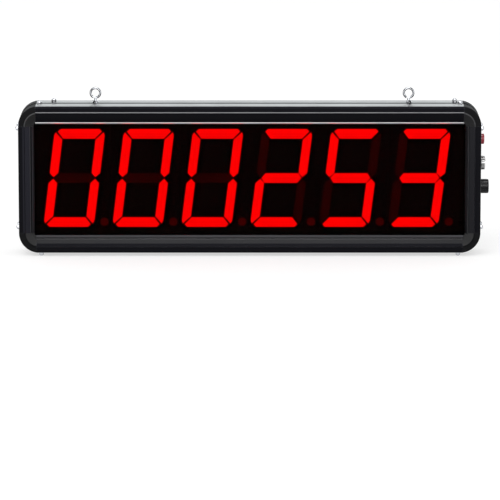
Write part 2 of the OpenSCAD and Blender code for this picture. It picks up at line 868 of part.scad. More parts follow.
// Wire eye with a threaded shank, from its seat on the top face
module eye_bolt() {
    foot = -wall - eye_stack - eye_past;
    translate([0, 0, ring_z]) rotate([90, 0, 0]) rotate([0, 0, -90])
        rotate_extrude(angle = ring_turn) translate([ring_r, 0]) circle(d = wire_d);
    translate([0, 0, foot]) cylinder(d = eye_shank, h = eye_stack - foot + join);
    translate([0, 0, eye_stack])
        cylinder(r1 = eye_shank / 2, r2 = wire_d / 2, h = eye_neck + wire_d / 2);
}

// Draws its children at the foot of each eye bolt
module at_eyes() {
    for (x = eye_spots) {
        translate([x, eye_d - frame_depth, half_h]) children();
    }
}

module eye_bolts() {
    color(steel) at_eyes() eye_bolt();
}

module eye_nuts() {
    color(steel) at_eyes() {
        for (z = [eye_washer_t, -wall - eye_stack]) {
            translate([0, 0, z]) difference() {
                hex_bar(eye_nut_af, eye_nut_h);
                translate([0, 0, -past])
                    cylinder(r = eye_shank / 2 + thread_fit, h = eye_nut_h + 2 * past);
            }
        }
    }
}

module eye_washers() {
    color(steel) at_eyes() {
        for (z = [0, -wall - eye_washer_t]) {
            translate([0, 0, z]) difference() {
                cylinder(d = eye_washer_d, h = eye_washer_t);
                translate([0, 0, -past])
                    cylinder(r = eye_shank / 2 + thread_fit, h = eye_washer_t + 2 * past);
            }
        }
    }
}

// Whether a module shows a segment, by the segment's usual letter
function is_lit(i, letter) = len(search(letter, LIT[shown[i]])) > 0;

// Middle of a module along the frame
function module_x(i) = (i - (len(shown) - 1) / 2) * module_pitch;

// Outline of one segment about the digit's middle, grown by g on every side, not yet slanted.
// f and a are drawn; e, d, b and c are their mirror images, and g lies between them.
function outline_a(g) = let(
    hw = digit_w / 2 + g, hh = digit_h / 2 + g, up = upright_w + 2 * g, lv = level_w + 2 * g,
    s = (segment_gap / 2 - g) * sqrt(2), nose = bevel * up / lv + s)
    [[-hw + up + s, hh - lv], [-hw + nose, hh - bevel], [-hw + nose + bevel, hh],
     [hw - nose - bevel, hh], [hw - nose, hh - bevel], [hw - up - s, hh - lv]];
function outline_f(g) = let(
    hw = digit_w / 2 + g, hh = digit_h / 2 + g, up = upright_w + 2 * g, lv = level_w + 2 * g,
    s = (segment_gap / 2 - g) * sqrt(2), in = bevel / 2, tip = hh - s - bevel * tip_share)
    [[-hw + up, hh - lv - s], [-hw + in, tip], [-hw, tip - bevel * shoulder_share],
     [-hw, s + up / 2], [-hw + up / 2, s], [-hw + up, s + up / 2]];
function outline_g(g) = let(
    hl = (digit_w - upright_w) / 2 - segment_gap / sqrt(2) + g * grow_share,
    lv = level_w / 2 + g, run = nose_share * lv)
    [[-hl, 0], [-hl + run, lv], [hl - run, lv], [hl, 0], [hl - run, -lv], [-hl + run, -lv]];

function flip(points, sx, sz) = [for (p = points) [sx * p[0], sz * p[1]]];
function outline(letter, g) =
    letter == "a" ? outline_a(g) :
    letter == "d" ? flip(outline_a(g), 1, -1) :
    letter == "f" ? outline_f(g) :
    letter == "b" ? flip(outline_f(g), -1, 1) :
    letter == "e" ? flip(outline_f(g), 1, -1) :
    letter == "c" ? flip(outline_f(g), -1, -1) :
    outline_g(g);

// One segment in place in its module, slanted to the right
module segment_shape(i, letter, g) {
    translate([module_x(i) - digit_shift, module_rise])
        polygon([for (p = outline(letter, g)) [p[0] + p[1] * tan(slant), p[1]]]);
}

// The decimal point in place in its module
module point_shape(i, g) {
    translate([module_x(i) - digit_shift + point_x, module_rise + point_rise - digit_h / 2])
        circle(d = point_d + 2 * g);
}

// Raises a shape, drawn as X by Z, from depth d to depth d + t
module plate(d, t) {
    translate([0, d + t - frame_depth, 0]) rotate([90, 0, 0]) linear_extrude(t) children();
}

module digit_housing(i) {
    color(black) plate(module_front, module_t) difference() {
        translate([module_x(i), module_rise])
            square([module_pitch - module_gap, module_h], center = true);
        for (letter = "abcdefg") {
            segment_shape(i, letter, segment_fit);
        }
        point_shape(i, segment_fit);
    }
}

// Light guides of one digit, either the lit ones or the dark ones with the decimal point
module digit_segments(i, lit) {
    color(lit ? lit_red : dark_red)
    plate(module_front + segment_inset, module_t - segment_inset) {
        for (letter = "abcdefg") {
            if (is_lit(i, letter) == lit) {
                segment_shape(i, letter, 0);
            }
        }
        if (!lit) {
            point_shape(i, 0);
        }
    }
}

module display_board() {
    color(board_green) plate(module_rear, board_t) difference() {
        translate([0, module_rise]) square([display_w, display_h], center = true);
        for (p = display_spots) {
            translate(p) circle(r = shank_d / 2 + board_fit);
        }
    }
}

// Hexagonal standoff from depth d to the rear cover, with a threaded hole at its front
module standoff(p, d) {
    len = cover_front - d;
    translate([p[0], d - frame_depth, p[1]]) rotate([-90, 0, 0]) difference() {
        hex_bar(standoff_af, len);
        translate([0, 0, -past]) cylinder(r = shank_d / 2 + thread_fit, h = small_len);
    }
}

// Pan-head screw that points to the rear from depth d
module board_screw(p, d) {
    translate([p[0], d - frame_depth, p[1]]) rotate([90, 0, 0]) pan_screw(small_len);
}

module display_standoffs() {
    color(steel) for (p = display_spots) {
        standoff(p, board_rear);
    }
}

module display_screws() {
    color(steel) for (p = display_spots) {
        board_screw(p, module_rear);
    }
}

// Places of a rear board's screws, from its middle, width and height
function board_spots(x, w, h) = [for (sx = [-1, 1], sz = [-1, 1])
    [x + sx * (w / 2 - board_screw_in), sz * (h / 2 - board_screw_in)]];

// Rear board with holes for its screws
module rear_board(x, w, h, spots) {
    color(board_green) plate(rear_board_d, board_t) difference() {
        translate([x, 0]) square([w, h], center = true);
        for (p = spots) {
            translate(p) circle(r = shank_d / 2 + board_fit);
        }
    }
}

module control_board() {
    rear_board(control_x, control_w, control_h, control_spots);
}

module power_board() {
    rear_board(supply_x, supply_w, supply_h, supply_spots);
}

module board_standoffs() {
    color(steel) for (p = concat(control_spots, supply_spots)) {
        standoff(p, rear_board_d + board_t);
    }
}

module board_screws() {
    color(steel) for (p = concat(control_spots, supply_spots)) {
        board_screw(p, rear_board_d);
    }
}

// Block that stands on the front of a rear board
module on_board(x, z, w, tall, h) {
    block(x, rear_board_d - tall, z, w, tall, h);
}

module control_chips() {
    color(black) {
        for (p = upright_chips) {
            on_board(control_x + p[0] * control_w, p[1] * control_h, chip_w, chip_t, chip_len);
        }
        on_board(control_x + level_chip[0] * control_w, level_chip[1] * control_h,
                 chip_len, chip_t, chip_w);
    }
}

// Terminal block with a hole for each wire and one over each screw
module terminal_block() {
    x = control_x + control_w / 2 - terminal_in;
    top = rear_board_d - low_parts_h - frame_depth;
    reach = terminal_deep + past;
    color(block_green) difference() {
        on_board(x, 0, terminal_w, low_parts_h, terminal_ways * terminal_pitch);
        for (i = [0 : terminal_ways - 1]) {
            z = (i - (terminal_ways - 1) / 2) * terminal_pitch;
            bar_x(x + terminal_w / 2 - terminal_deep, rear_board_d - terminal_hole - frame_depth,
                  z, terminal_hole / 2, reach);
            bar_y(x, top - past, z, terminal_hole / 2, reach);
        }
    }
}

// Round capacitor that stands on a rear board
module capacitor(x, z, d, tall) {
    bar_y(x, rear_board_d - tall - frame_depth, z, d / 2, tall);
}

module capacitors() {
    color(sleeve_blue) {
        for (p = control_caps) {
            capacitor(control_x + p[0] * control_w, p[1] * control_h, small_cap_d, low_parts_h);
        }
        for (p = supply_caps) {
            capacitor(supply_x + p[0] * supply_w, p[1] * supply_h, large_cap_d, parts_h);
        }
    }
}

module power_transformer() {
    x = supply_x + transformer_at * supply_w;
    color(tape_yellow) difference() {
        on_board(x, 0, transformer_w, parts_h, transformer_h);
        for (s = [-1, 1]) {
            translate([x + s * transformer_w / 2, rear_board_d - frame_depth - parts_h / 2, 0])
                cube([2 * transformer_notch, parts_h * notch_share, transformer_h * notch_share],
                     center = true);
        }
    }
}

module power_heat_sink() {
    x = supply_x + sink_at * supply_w;
    color(aluminium) {
        on_board(x, 0, (fin_count - 1) * fin_pitch + fin_t, sink_base, sink_len);
        for (i = [0 : fin_count - 1]) {
            on_board(x + (i - (fin_count - 1) / 2) * fin_pitch, 0, fin_t, low_parts_h, sink_len);
        }
    }
}

module ribbon_headers() {
    h = ribbon_w + 2 * header_past;
    color(black) {
        block(ribbon_from, board_rear, 0, header_w, header_h, h);
        on_board(ribbon_to, 0, header_w, header_h, h);
    }
}

// Ribbon cable between the headers of the display board and the control board
module ribbon_cable() {
    lie = header_w / 2;
    d_from = board_rear + header_h;
    d_to = rear_board_d - header_h - ribbon_t;
    run = ribbon_to - ribbon_from - 2 * lie;
    path = concat([[ribbon_from - lie, d_from]],
        [for (i = [0 : ribbon_steps]) [ribbon_from + lie + run * i / ribbon_steps,
            d_from + (d_to - d_from) * (1 - cos(180 * i / ribbon_steps)) / 2]],
        [[ribbon_to + lie, d_to]]);
    back = [for (i = [len(path) - 1 : -1 : 0]) [path[i][0], path[i][1] + ribbon_t]];
    color(ribbon_grey) translate([0, -frame_depth, -ribbon_w / 2])
        linear_extrude(ribbon_w) polygon(concat(path, back));
}

// Draws what points out of the right face at height z
module on_right(z) {
    translate([half_w, side_d - frame_depth, z]) rotate([0, 90, 0]) children();
}

// Hole through the right rail's outer wall
module through_hole(r) {
    translate([0, 0, -wall - past]) cylinder(r = r, h = wall + 2 * past);
}

// Hexagonal panel nut behind the outer wall
module panel_nut(af, bore_d) {
    translate([0, 0, -wall - nut_t]) difference() {
        rotate([0, 0, 30]) hex_bar(af, nut_t);
        translate([0, 0, -past])
            cylinder(r = bore_d / 2 + thread_fit, h = nut_t + 2 * past);
    }
}

// Round bar with a rounded upper edge
module round_top(r, h, edge) {
    rotate_extrude() {
        square([r - edge, h]);
        square([r, h - edge]);
        translate([r - edge, h - edge]) circle(edge);
    }
}

// Bushing of the reset button with its bezel
module reset_button_body() {
    floor_rear = bore_deep + bushing_floor;
    color(black) on_right(button_z) difference() {
        union() {
            cylinder(d = bezel_d, h = bezel_t);
            translate([0, 0, -floor_rear]) cylinder(r = bushing_r, h = floor_rear + join);
        }
        translate([0, 0, -bore_deep])
            cylinder(r = cap_r + cap_fit, h = bore_deep + bezel_t + past);
        translate([0, 0, -floor_rear - past])
            cylinder(r = stem_d / 2 + stem_fit, h = bushing_floor + 2 * past);
    }
}

module reset_button_nut() {
    color(steel) on_right(button_z) panel_nut(button_nut_af, 2 * bushing_r);
}

// Cap on a stem, whose collar keeps it in the bushing
module reset_button_cap() {
    collar_top = -bore_deep - bushing_floor - collar_gap;
    color(cap_red) on_right(button_z) {
        translate([0, 0, -cap_foot]) round_top(cap_r, cap_foot + cap_out, cap_edge);
        translate([0, 0, collar_top - join])
            cylinder(d = stem_d, h = 2 * join - cap_foot - collar_top);
        translate([0, 0, collar_top - collar_t])
            cylinder(r = stem_d / 2 + collar_past, h = collar_t);
    }
}

// Spring as it lies when the cap is pressed, round the stem on the bushing's floor
module reset_button_spring() {
    wire_r = spring_wire / 2;
    mean_r = stem_d / 2 + spring_gap + wire_r;
    rise = bore_deep - cap_foot - cap_travel - spring_play - spring_wire;
    rings = spring_turns * turn_steps;
    points = [for (i = [0 : rings], k = [0 : wire_sides - 1]) let(
        turn = 360 * i / turn_steps, round = 360 * k / wire_sides,
        r = mean_r + wire_r * cos(round))
        [r * cos(turn), r * sin(turn), wire_r + rise * i / rings + wire_r * sin(round)]];
    skin = [for (i = [0 : rings - 1], k = [0 : wire_sides - 1]) let(n = (k + 1) % wire_sides)
        [i * wire_sides + k, (i + 1) * wire_sides + k, (i + 1) * wire_sides + n,
         i * wire_sides + n]];
    ends = [[for (k = [0 : wire_sides - 1]) k],
            [for (k = [wire_sides - 1 : -1 : 0]) rings * wire_sides + k]];
    color(steel) on_right(button_z) translate([0, 0, -bore_deep])
        polyhedron(points, concat(skin, ends));
}

// Bore of a round socket, open at its mouth, with a ledge for the insert
module stepped_bore(bore_d, out) {
    translate([0, 0, -insert_seat]) cylinder(d = bore_d, h = insert_seat + out + past);
    translate([0, 0, -rear_thread_in - past])
        cylinder(r = bore_d / 2 - insert_ledge, h = rear_thread_in + past);
}

// Draws its children at each of a socket's pins
module at_pins(count, circle_r) {
    for (i = [0 : count - 1]) {
        rotate([0, 0, 360 * i / count]) translate([circle_r, 0, 0]) children();
    }
}

module socket_insert(bore_d, count, circle_r) {
    difference() {
        translate([0, 0, -insert_seat])
            cylinder(r = bore_d / 2 - thread_fit, h = insert_seat - insert_top);
        at_pins(count, circle_r) translate([0, 0, -insert_seat - past])
            cylinder(r = pin_d / 2 + pin_fit, h = insert_seat);
    }
}

module contact_pins(count, circle_r) {
    color(brass) at_pins(count, circle_r) translate([0, 0, -rear_thread_in])
        cylinder(d = pin_d, h = rear_thread_in - insert_top + pin_len);
}

module signal_socket_shell() {
    straight = socket_out - socket_chamfer;
    color(steel) on_right(socket_z) difference() {
        union() {
            cylinder(d = socket_d, h = straight);
            translate([0, 0, straight]) cylinder(
                r1 = socket_d / 2, r2 = socket_d / 2 - socket_chamfer, h = socket_chamfer);
            translate([0, 0, -rear_thread_in])
                cylinder(d = socket_rear_d, h = rear_thread_in + join);
        }
        stepped_bore(socket_bore, socket_out);
    }
}

module signal_socket_nut() {
    color(steel) on_right(socket_z) panel_nut(socket_nut_af, socket_rear_d);
}

module signal_socket_insert() {
    color(black) on_right(socket_z) socket_insert(socket_bore, socket_pins, socket_pin_circle);
}

module signal_socket_pins() {
    on_right(socket_z) contact_pins(socket_pins, socket_pin_circle);
}

module power_inlet_shell() {
    groove_foot = inlet_flange_t + inlet_groove_from;
    color(black) on_right(inlet_z) difference() {
        union() {
            cylinder(d = inlet_flange_d, h = inlet_flange_t);
            round_top(inlet_d / 2, inlet_out, inlet_edge);
            translate([0, 0, -rear_thread_in])
                cylinder(d = inlet_rear_d, h = rear_thread_in + join);
        }
        stepped_bore(inlet_bore, inlet_out);
        for (i = [0 : inlet_grooves - 1]) {
            rotate([0, 0, 360 * i / inlet_grooves]) translate([inlet_d / 2, 0, groove_foot])
                cylinder(r = inlet_groove_r, h = inlet_out - inlet_groove_end - groove_foot);
        }
    }
}

module power_inlet_nut() {
    color(steel) on_right(inlet_z) panel_nut(inlet_nut_af, inlet_rear_d);
}

module power_inlet_insert() {
    color(black) on_right(inlet_z) socket_insert(inlet_bore, inlet_pins, inlet_pin_circle);
}

module power_inlet_pins() {
    on_right(inlet_z) contact_pins(inlet_pins, inlet_pin_circle);
}

top_rail();
bottom_rail();
left_rail();
right_rail();
corner_top_left();
corner_top_right();
corner_bottom_left();
corner_bottom_right();
frame_screws();
front_lens();
rear_cover();
cover_screws();
eye_bolts();
eye_nuts();
eye_washers();
for (i = DIGITS) {
    digit_housing(i);
    digit_segments(i, true);
    digit_segments(i, false);
}
display_board();
display_standoffs();
display_screws();
control_board();
control_chips();
terminal_block();
capacitors();
power_board();
power_transformer();
power_heat_sink();
board_standoffs();
board_screws();
ribbon_headers();
ribbon_cable();
reset_button_body();
reset_button_nut();
reset_button_cap();
reset_button_spring();
signal_socket_shell();
signal_socket_nut();
signal_socket_insert();
signal_socket_pins();
power_inlet_shell();
power_inlet_nut();
power_inlet_insert();
power_inlet_pins();
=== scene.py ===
"""Looks of a hanging counter display.

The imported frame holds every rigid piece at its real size. This script gives each piece its
finish, cuts the fine thread of the signal socket, and sets up the studio and the camera.
"""

from __future__ import annotations

import logging
import math
from abc import ABC, abstractmethod
from collections.abc import Callable, Sequence
from dataclasses import dataclass
from enum import Enum
import bmesh
import bpy
from mathutils import Matrix, Quaternion, Vector


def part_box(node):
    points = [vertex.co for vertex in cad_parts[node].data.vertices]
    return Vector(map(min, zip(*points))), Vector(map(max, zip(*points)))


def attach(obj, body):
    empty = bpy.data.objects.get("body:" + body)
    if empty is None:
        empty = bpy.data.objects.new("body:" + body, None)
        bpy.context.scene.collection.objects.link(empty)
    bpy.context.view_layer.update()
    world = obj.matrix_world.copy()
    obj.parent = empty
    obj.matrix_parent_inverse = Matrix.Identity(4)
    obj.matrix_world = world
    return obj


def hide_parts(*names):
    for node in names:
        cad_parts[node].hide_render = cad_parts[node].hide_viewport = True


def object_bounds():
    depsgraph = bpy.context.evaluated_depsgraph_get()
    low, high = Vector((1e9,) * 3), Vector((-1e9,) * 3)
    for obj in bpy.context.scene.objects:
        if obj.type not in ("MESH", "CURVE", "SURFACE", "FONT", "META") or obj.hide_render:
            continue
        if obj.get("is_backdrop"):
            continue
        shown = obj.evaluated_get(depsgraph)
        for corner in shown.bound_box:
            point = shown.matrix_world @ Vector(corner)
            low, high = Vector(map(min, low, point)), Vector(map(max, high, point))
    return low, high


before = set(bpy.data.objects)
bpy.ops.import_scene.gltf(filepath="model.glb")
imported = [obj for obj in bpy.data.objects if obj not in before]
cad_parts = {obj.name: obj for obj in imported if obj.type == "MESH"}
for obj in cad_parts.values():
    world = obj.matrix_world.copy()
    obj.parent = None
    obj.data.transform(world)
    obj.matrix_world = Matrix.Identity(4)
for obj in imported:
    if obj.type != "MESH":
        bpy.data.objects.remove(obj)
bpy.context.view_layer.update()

MM = 0.001

Colour = tuple[float, float, float]
Socket = bpy.types.NodeSocket

# Sockets of Blender's Mix node that a colour uses.
MIX_MASK = 0
MIX_UNDER = 6
MIX_OVER = 7
MIX_RESULT = 2

WHITE = (1.0, 1.0, 1.0, 1.0)
BLACK = (0.0, 0.0, 0.0, 1.0)
RESIN_DARK = (0.010, 0.010, 0.011)
RESIN_LIGHT = (0.016, 0.016, 0.017)
SHARP_EDGE = math.radians(38)

# Corners of a sheet with sides of 1, in order round it.
SHEET = ((-0.5, -0.5), (0.5, -0.5), (0.5, 0.5), (-0.5, 0.5))

log = logging.getLogger("counter_display")


class Axis(Enum):
    """Direction of a rail, as the die lines per metre along X, Y and Z."""

    LEVEL = (4.0, 900.0, 900.0)
    UPRIGHT = (900.0, 900.0, 4.0)

    @property
    def across(self) -> tuple[float, float, float]:
        """Direction across the rail's face."""
        return (0.0, 0.0, 1.0) if self is Axis.LEVEL else (1.0, 0.0, 0.0)


class Plating(Enum):
    """Plating or bare metal of a small part."""

    NICKEL = ((0.60, 0.60, 0.60), 0.12)
    WIRE = ((0.40, 0.41, 0.43), 0.24)
    ZINC = ((0.56, 0.57, 0.60), 0.20)
    BRASS = ((0.78, 0.56, 0.22), 0.28)
    ALUMINIUM = ((0.62, 0.62, 0.64), 0.40)
    BLACKENED = ((0.008, 0.008, 0.009), 0.46)

    def __init__(self, colour: Colour, roughness: float) -> None:
        """Takes the base colour and the usual roughness."""
        self.colour = colour
        self.roughness = roughness


def shade(colour: Colour, share: float) -> Colour:
    """Returns a share of a linear colour."""
    return tuple(share * part for part in colour)


class Sketch:
    """Adds nodes to one node tree and links them."""

    def __init__(self, tree: bpy.types.NodeTree) -> None:
        """Takes the node tree to draw in."""
        self.tree = tree

    def node(self, kind: str, **settings: object) -> bpy.types.Node:
        """Adds a node.

        Args:
            kind: Blender's name of the node's type.
            settings: Properties to set on the node.

        Returns:
            The new node.
        """
        made = self.tree.nodes.new(kind)
        for name, value in settings.items():
            setattr(made, name, value)
        return made

    def put(self, socket: Socket, value: object) -> None:
        """Sets or links one input.

        Args:
            socket: The input.
            value: A value, or the socket that it is linked to.
        """
        if isinstance(value, Socket):
            self.tree.links.new(value, socket)
        else:
            socket.default_value = value

    def feed(self, node: bpy.types.Node, **values: object) -> bpy.types.Node:
        """Sets or links inputs of a node.

        Args:
            node: The node whose inputs are set.
            values: Input names, with an underscore for each space, and a value or a socket.

        Returns:
            The same node.
        """
        for name, value in values.items():
            self.put(node.inputs[name.replace("_", " ")], value)
        return node

    def effect(self, tree: bpy.types.NodeTree, **values: object) -> bpy.types.Node:
        """Places a shared effect.

        Args:
            tree: The effect's group.
            values: The group's inputs.

        Returns:
            The group's node.
        """
        return self.feed(self.node("ShaderNodeGroup", node_tree=tree), **values)

    def math(self, operation: str, first: object, second: object = 0.0) -> Socket:
        """Adds a Math node.

        Args:
            operation: Blender's name of the operation.
            first: Value or socket.
            second: Value or socket.

        Returns:
            The node's result.
        """
        made = self.node("ShaderNodeMath", operation=operation)
        self.put(made.inputs[0], first)
        self.put(made.inputs[1], second)
        return made.outputs[0]

    def vector(self, operation: str, *operands: object) -> bpy.types.Node:
        """Adds a Vector Math node.

        Args:
            operation: Blender's name of the operation.
            operands: Vectors or sockets.

        Returns:
            The node, with its result in Vector or in Value.
        """
        made = self.node("ShaderNodeVectorMath", operation=operation)
        for socket, value in zip(made.inputs, operands):
            self.put(socket, value)
        return made

    def noise(self, place: Socket, scale: object, detail: float, warp: float = 0.0) -> Socket:
        """Adds a noise.

        Args:
            place: Coordinates.
            scale: Value or socket.
            detail: Number of finer layers.
            warp: How far the noise bends itself.

        Returns:
            The noise, from 0 to 1.
        """
        made = self.node("ShaderNodeTexNoise")
        self.feed(made, Vector=place, Scale=scale, Detail=detail, Distortion=warp)
        return made.outputs["Fac"]

    def spread(self, value: Socket, low: float, high: float) -> Socket:
        """Maps a mask from 0..1 to low..high.

        Args:
            value: The mask.
            low: Result where the mask is 0.
            high: Result where the mask is 1.

        Returns:
            The mapped value.
        """
        made = self.node("ShaderNodeMapRange")
        self.feed(made, Value=value, To_Min=low, To_Max=high)
        return made.outputs["Result"]

    def mix(self, mask: Socket, under: Colour | Socket, over: Colour) -> Socket:
        """Covers a colour with another by a mask.

        Args:
            mask: 0 gives the colour that lies under and 1 the colour that lies over it.
            under: Linear colour, or the socket of one that varies.
            over: Linear colour.

        Returns:
            The mixed colour.
        """
        made = self.node("ShaderNodeMix", data_type="RGBA")
        varies = isinstance(under, Socket)
        self.put(made.inputs[MIX_MASK], mask)
        self.put(made.inputs[MIX_UNDER], under if varies else (*under, 1.0))
        self.put(made.inputs[MIX_OVER], (*over, 1.0))
        return made.outputs[MIX_RESULT]

    def between(self, value: Socket, given: bpy.types.Node) -> Socket:
        """Masks where a value lies between a group's From and To.

        Args:
            value: The value.
            given: The group's input node, which has From, To and Fade.

        Returns:
            1 between them, falling to 0 at both over the length of Fade.
        """
        inner = self.math("SUBTRACT", value, given.outputs["From"])
        outer = self.math("SUBTRACT", given.outputs["To"], value)
        share = self.math("DIVIDE", self.math("MINIMUM", inner, outer), given.outputs["Fade"])
        soft = self.feed(self.node("ShaderNodeClamp"), Value=share)
        return soft.outputs[0]

    def place(self) -> Socket:
        """Returns the object's own coordinates, in metres."""
        return self.node("ShaderNodeTexCoord").outputs["Object"]


def new_group(
    name: str, inputs: dict[str, float | Colour], outputs: Sequence[str]
) -> tuple[bpy.types.NodeTree, Sketch, bpy.types.Node, bpy.types.Node]:
    """Starts a shader node group.

    Args:
        name: The group's name.
        inputs: Input names with their defaults, a number or a vector.
        outputs: Names of the outputs, all plain values.

    Returns:
        The group, a sketch of it, and its input and output nodes.
    """
    tree = bpy.data.node_groups.new(name, "ShaderNodeTree")
    for label, default in inputs.items():
        kind = "NodeSocketFloat" if isinstance(default, float) else "NodeSocketVector"
        made = tree.interface.new_socket(label, in_out="INPUT", socket_type=kind)
        made.default_value = default
    for label in outputs:
        tree.interface.new_socket(label, in_out="OUTPUT", socket_type="NodeSocketFloat")
    sketch = Sketch(tree)
    return tree, sketch, sketch.node("NodeGroupInput"), sketch.node("NodeGroupOutput")


class SharedEffects:
    """Node groups that several finishes use, each built once.

    Attributes:
        mottle_scale: Scale of the mottle as a share of the grain's.
        streak_scale: Scale of the streaks as a share of the die lines'.
        edge_rays: Samples that look for an edge.
        flat_cosine: Likeness of the two normals where an edge starts to show.
        bent_cosine: Likeness of the two normals where an edge shows fully.
        smudge_warp: How far the smudges bend themselves.
        without_depth: Factors that leave the depth out of a place.
    """

    mottle_scale: float = 0.06
    streak_scale: float = 0.22
    edge_rays: int = 4
    flat_cosine: float = 0.995
    bent_cosine: float = 0.90
    smudge_warp: float = 0.6
    without_depth: tuple[float, float, float] = (1.0, 0.0, 1.0)

    def __init__(self) -> None:
        """Builds every group."""
        self.grain = self.build_grain()
        self.lines = self.build_lines()
        self.edges = self.build_edges()
        self.handling = self.build_handling()
        self.painted_reflection = self.build_painted_reflection()
        self.arc = self.build_arc()
        self.window = self.build_window()

    def build_grain(self) -> bpy.types.NodeTree:
        """Fine moulded or painted grain.

        Returns:
            Group with Fineness in, Height and Mottle out.
        """
        tree, sketch, given, result = new_group(
            "fine_grain", {"Fineness": 1400.0}, ("Height", "Mottle")
        )
        fineness = given.outputs["Fineness"]
        height = sketch.noise(sketch.place(), fineness, 3.0)
        broad_scale = sketch.math("MULTIPLY", fineness, self.mottle_scale)
        mottle = sketch.noise(sketch.place(), broad_scale, 2.0)
        sketch.feed(result, Height=height, Mottle=mottle)
        return tree

    def build_lines(self) -> bpy.types.NodeTree:
        """Fine lines that an extrusion die leaves along a rail.

        Returns:
            Group with Stretch in, Height and Streaks out.
        """
        tree, sketch, given, result = new_group(
            "extrusion_lines", {"Stretch": Axis.LEVEL.value}, ("Height", "Streaks")
        )
        stretched = sketch.vector("MULTIPLY", sketch.place(), given.outputs["Stretch"]).outputs[0]
        sketch.feed(result, Height=sketch.noise(stretched, 1.0, 2.0),
                    Streaks=sketch.noise(stretched, self.streak_scale, 1.0))
        return tree

    def build_edges(self) -> bpy.types.NodeTree:
        """Mask of the edges, where a painted highlight goes.

        Returns:
            Group with Width in, Edge out.
        """
        tree, sketch, given, result = new_group("painted_edge_highlight", {"Width": 0.5 * MM}, ("Edge",))
        rounded = sketch.node("ShaderNodeBevel", samples=self.edge_rays)
        sketch.feed(rounded, Radius=given.outputs["Width"])
        flat = sketch.node("ShaderNodeNewGeometry")
        alike = sketch.vector("DOT_PRODUCT", rounded.outputs[0], flat.outputs["Normal"])
        bent = sketch.node("ShaderNodeMapRange")
        sketch.feed(bent, Value=alike.outputs["Value"], From_Min=self.flat_cosine,
                    From_Max=self.bent_cosine)
        sketch.feed(result, Edge=bent.outputs["Result"])
        return tree

    def build_handling(self) -> bpy.types.NodeTree:
        """Soft smudges that vary a surface's gloss.

        Returns:
            Group with Patches in, Smudge out.
        """
        tree, sketch, given, result = new_group("handling", {"Patches": 30.0}, ("Smudge",))
        smudge = sketch.noise(sketch.place(), given.outputs["Patches"], 4.0, self.smudge_warp)
        sketch.feed(result, Smudge=smudge)
        return tree

    def build_painted_reflection(self) -> bpy.types.NodeTree:
        """Mask of one painted reflection along a rail, the same on both sides of the middle.

        Returns:
            Group with Across, From, To and Fade in, Stripe out.
        """
        tree, sketch, given, result = new_group(
            "painted_reflection",
            {"Across": Axis.LEVEL.across, "From": 0.0, "To": 1.0 * MM, "Fade": 0.3 * MM},
            ("Stripe",),
        )
        along = sketch.vector("DOT_PRODUCT", sketch.place(), given.outputs["Across"])
        away = sketch.math("ABSOLUTE", along.outputs["Value"])
        sketch.feed(result, Stripe=sketch.between(away, given))
        return tree

    def build_arc(self) -> bpy.types.NodeTree:
        """Mask of one band round the middle of each corner's arc.

        Returns:
            Group with Middle, From, To and Fade in, Band out.
        """
        tree, sketch, given, result = new_group(
            "arc",
            {"Middle": (0.22, 0.0, 0.06), "From": 0.0, "To": 1.0 * MM, "Fade": 0.3 * MM},
            ("Band",),
        )
        mirrored = sketch.vector("ABSOLUTE", sketch.place())
        flat = sketch.vector("MULTIPLY", mirrored.outputs[0], self.without_depth)
        reach = sketch.vector("DISTANCE", flat.outputs[0], given.outputs["Middle"])
        sketch.feed(result, Band=sketch.between(reach.outputs["Value"], given))
        return tree

    def build_window(self) -> bpy.types.NodeTree:
        """Mask of the lower right part of each module, where its decimal point lies.

        Returns:
            Group with Pitch, From and Below in, Window out.
        """
        tree, sketch, given, result = new_group(
            "point_window", {"Pitch": 0.07, "From": 0.06, "Below": -0.036}, ("Window",)
        )
        split = sketch.feed(sketch.node("ShaderNodeSeparateXYZ"), Vector=sketch.place())
        across = sketch.math("FLOORED_MODULO", split.outputs["X"], given.outputs["Pitch"])
        right = sketch.math("GREATER_THAN", across, given.outputs["From"])
        low = sketch.math("LESS_THAN", split.outputs["Z"], given.outputs["Below"])
        sketch.feed(result, Window=sketch.math("MULTIPLY", right, low))
        return tree


@dataclass(frozen=True)
class Touch:
    """Fine grain of a surface and the smudges on it.

    Attributes:
        fineness: Grains per metre.
        patches: Smudges per metre.
        depth: Height of the grain, in metres.
        share: Share of the grain's relief that shows.
    """

    fineness: float = 1500.0
    patches: float = 40.0
    depth: float = 0.04 * MM
    share: float = 0.6


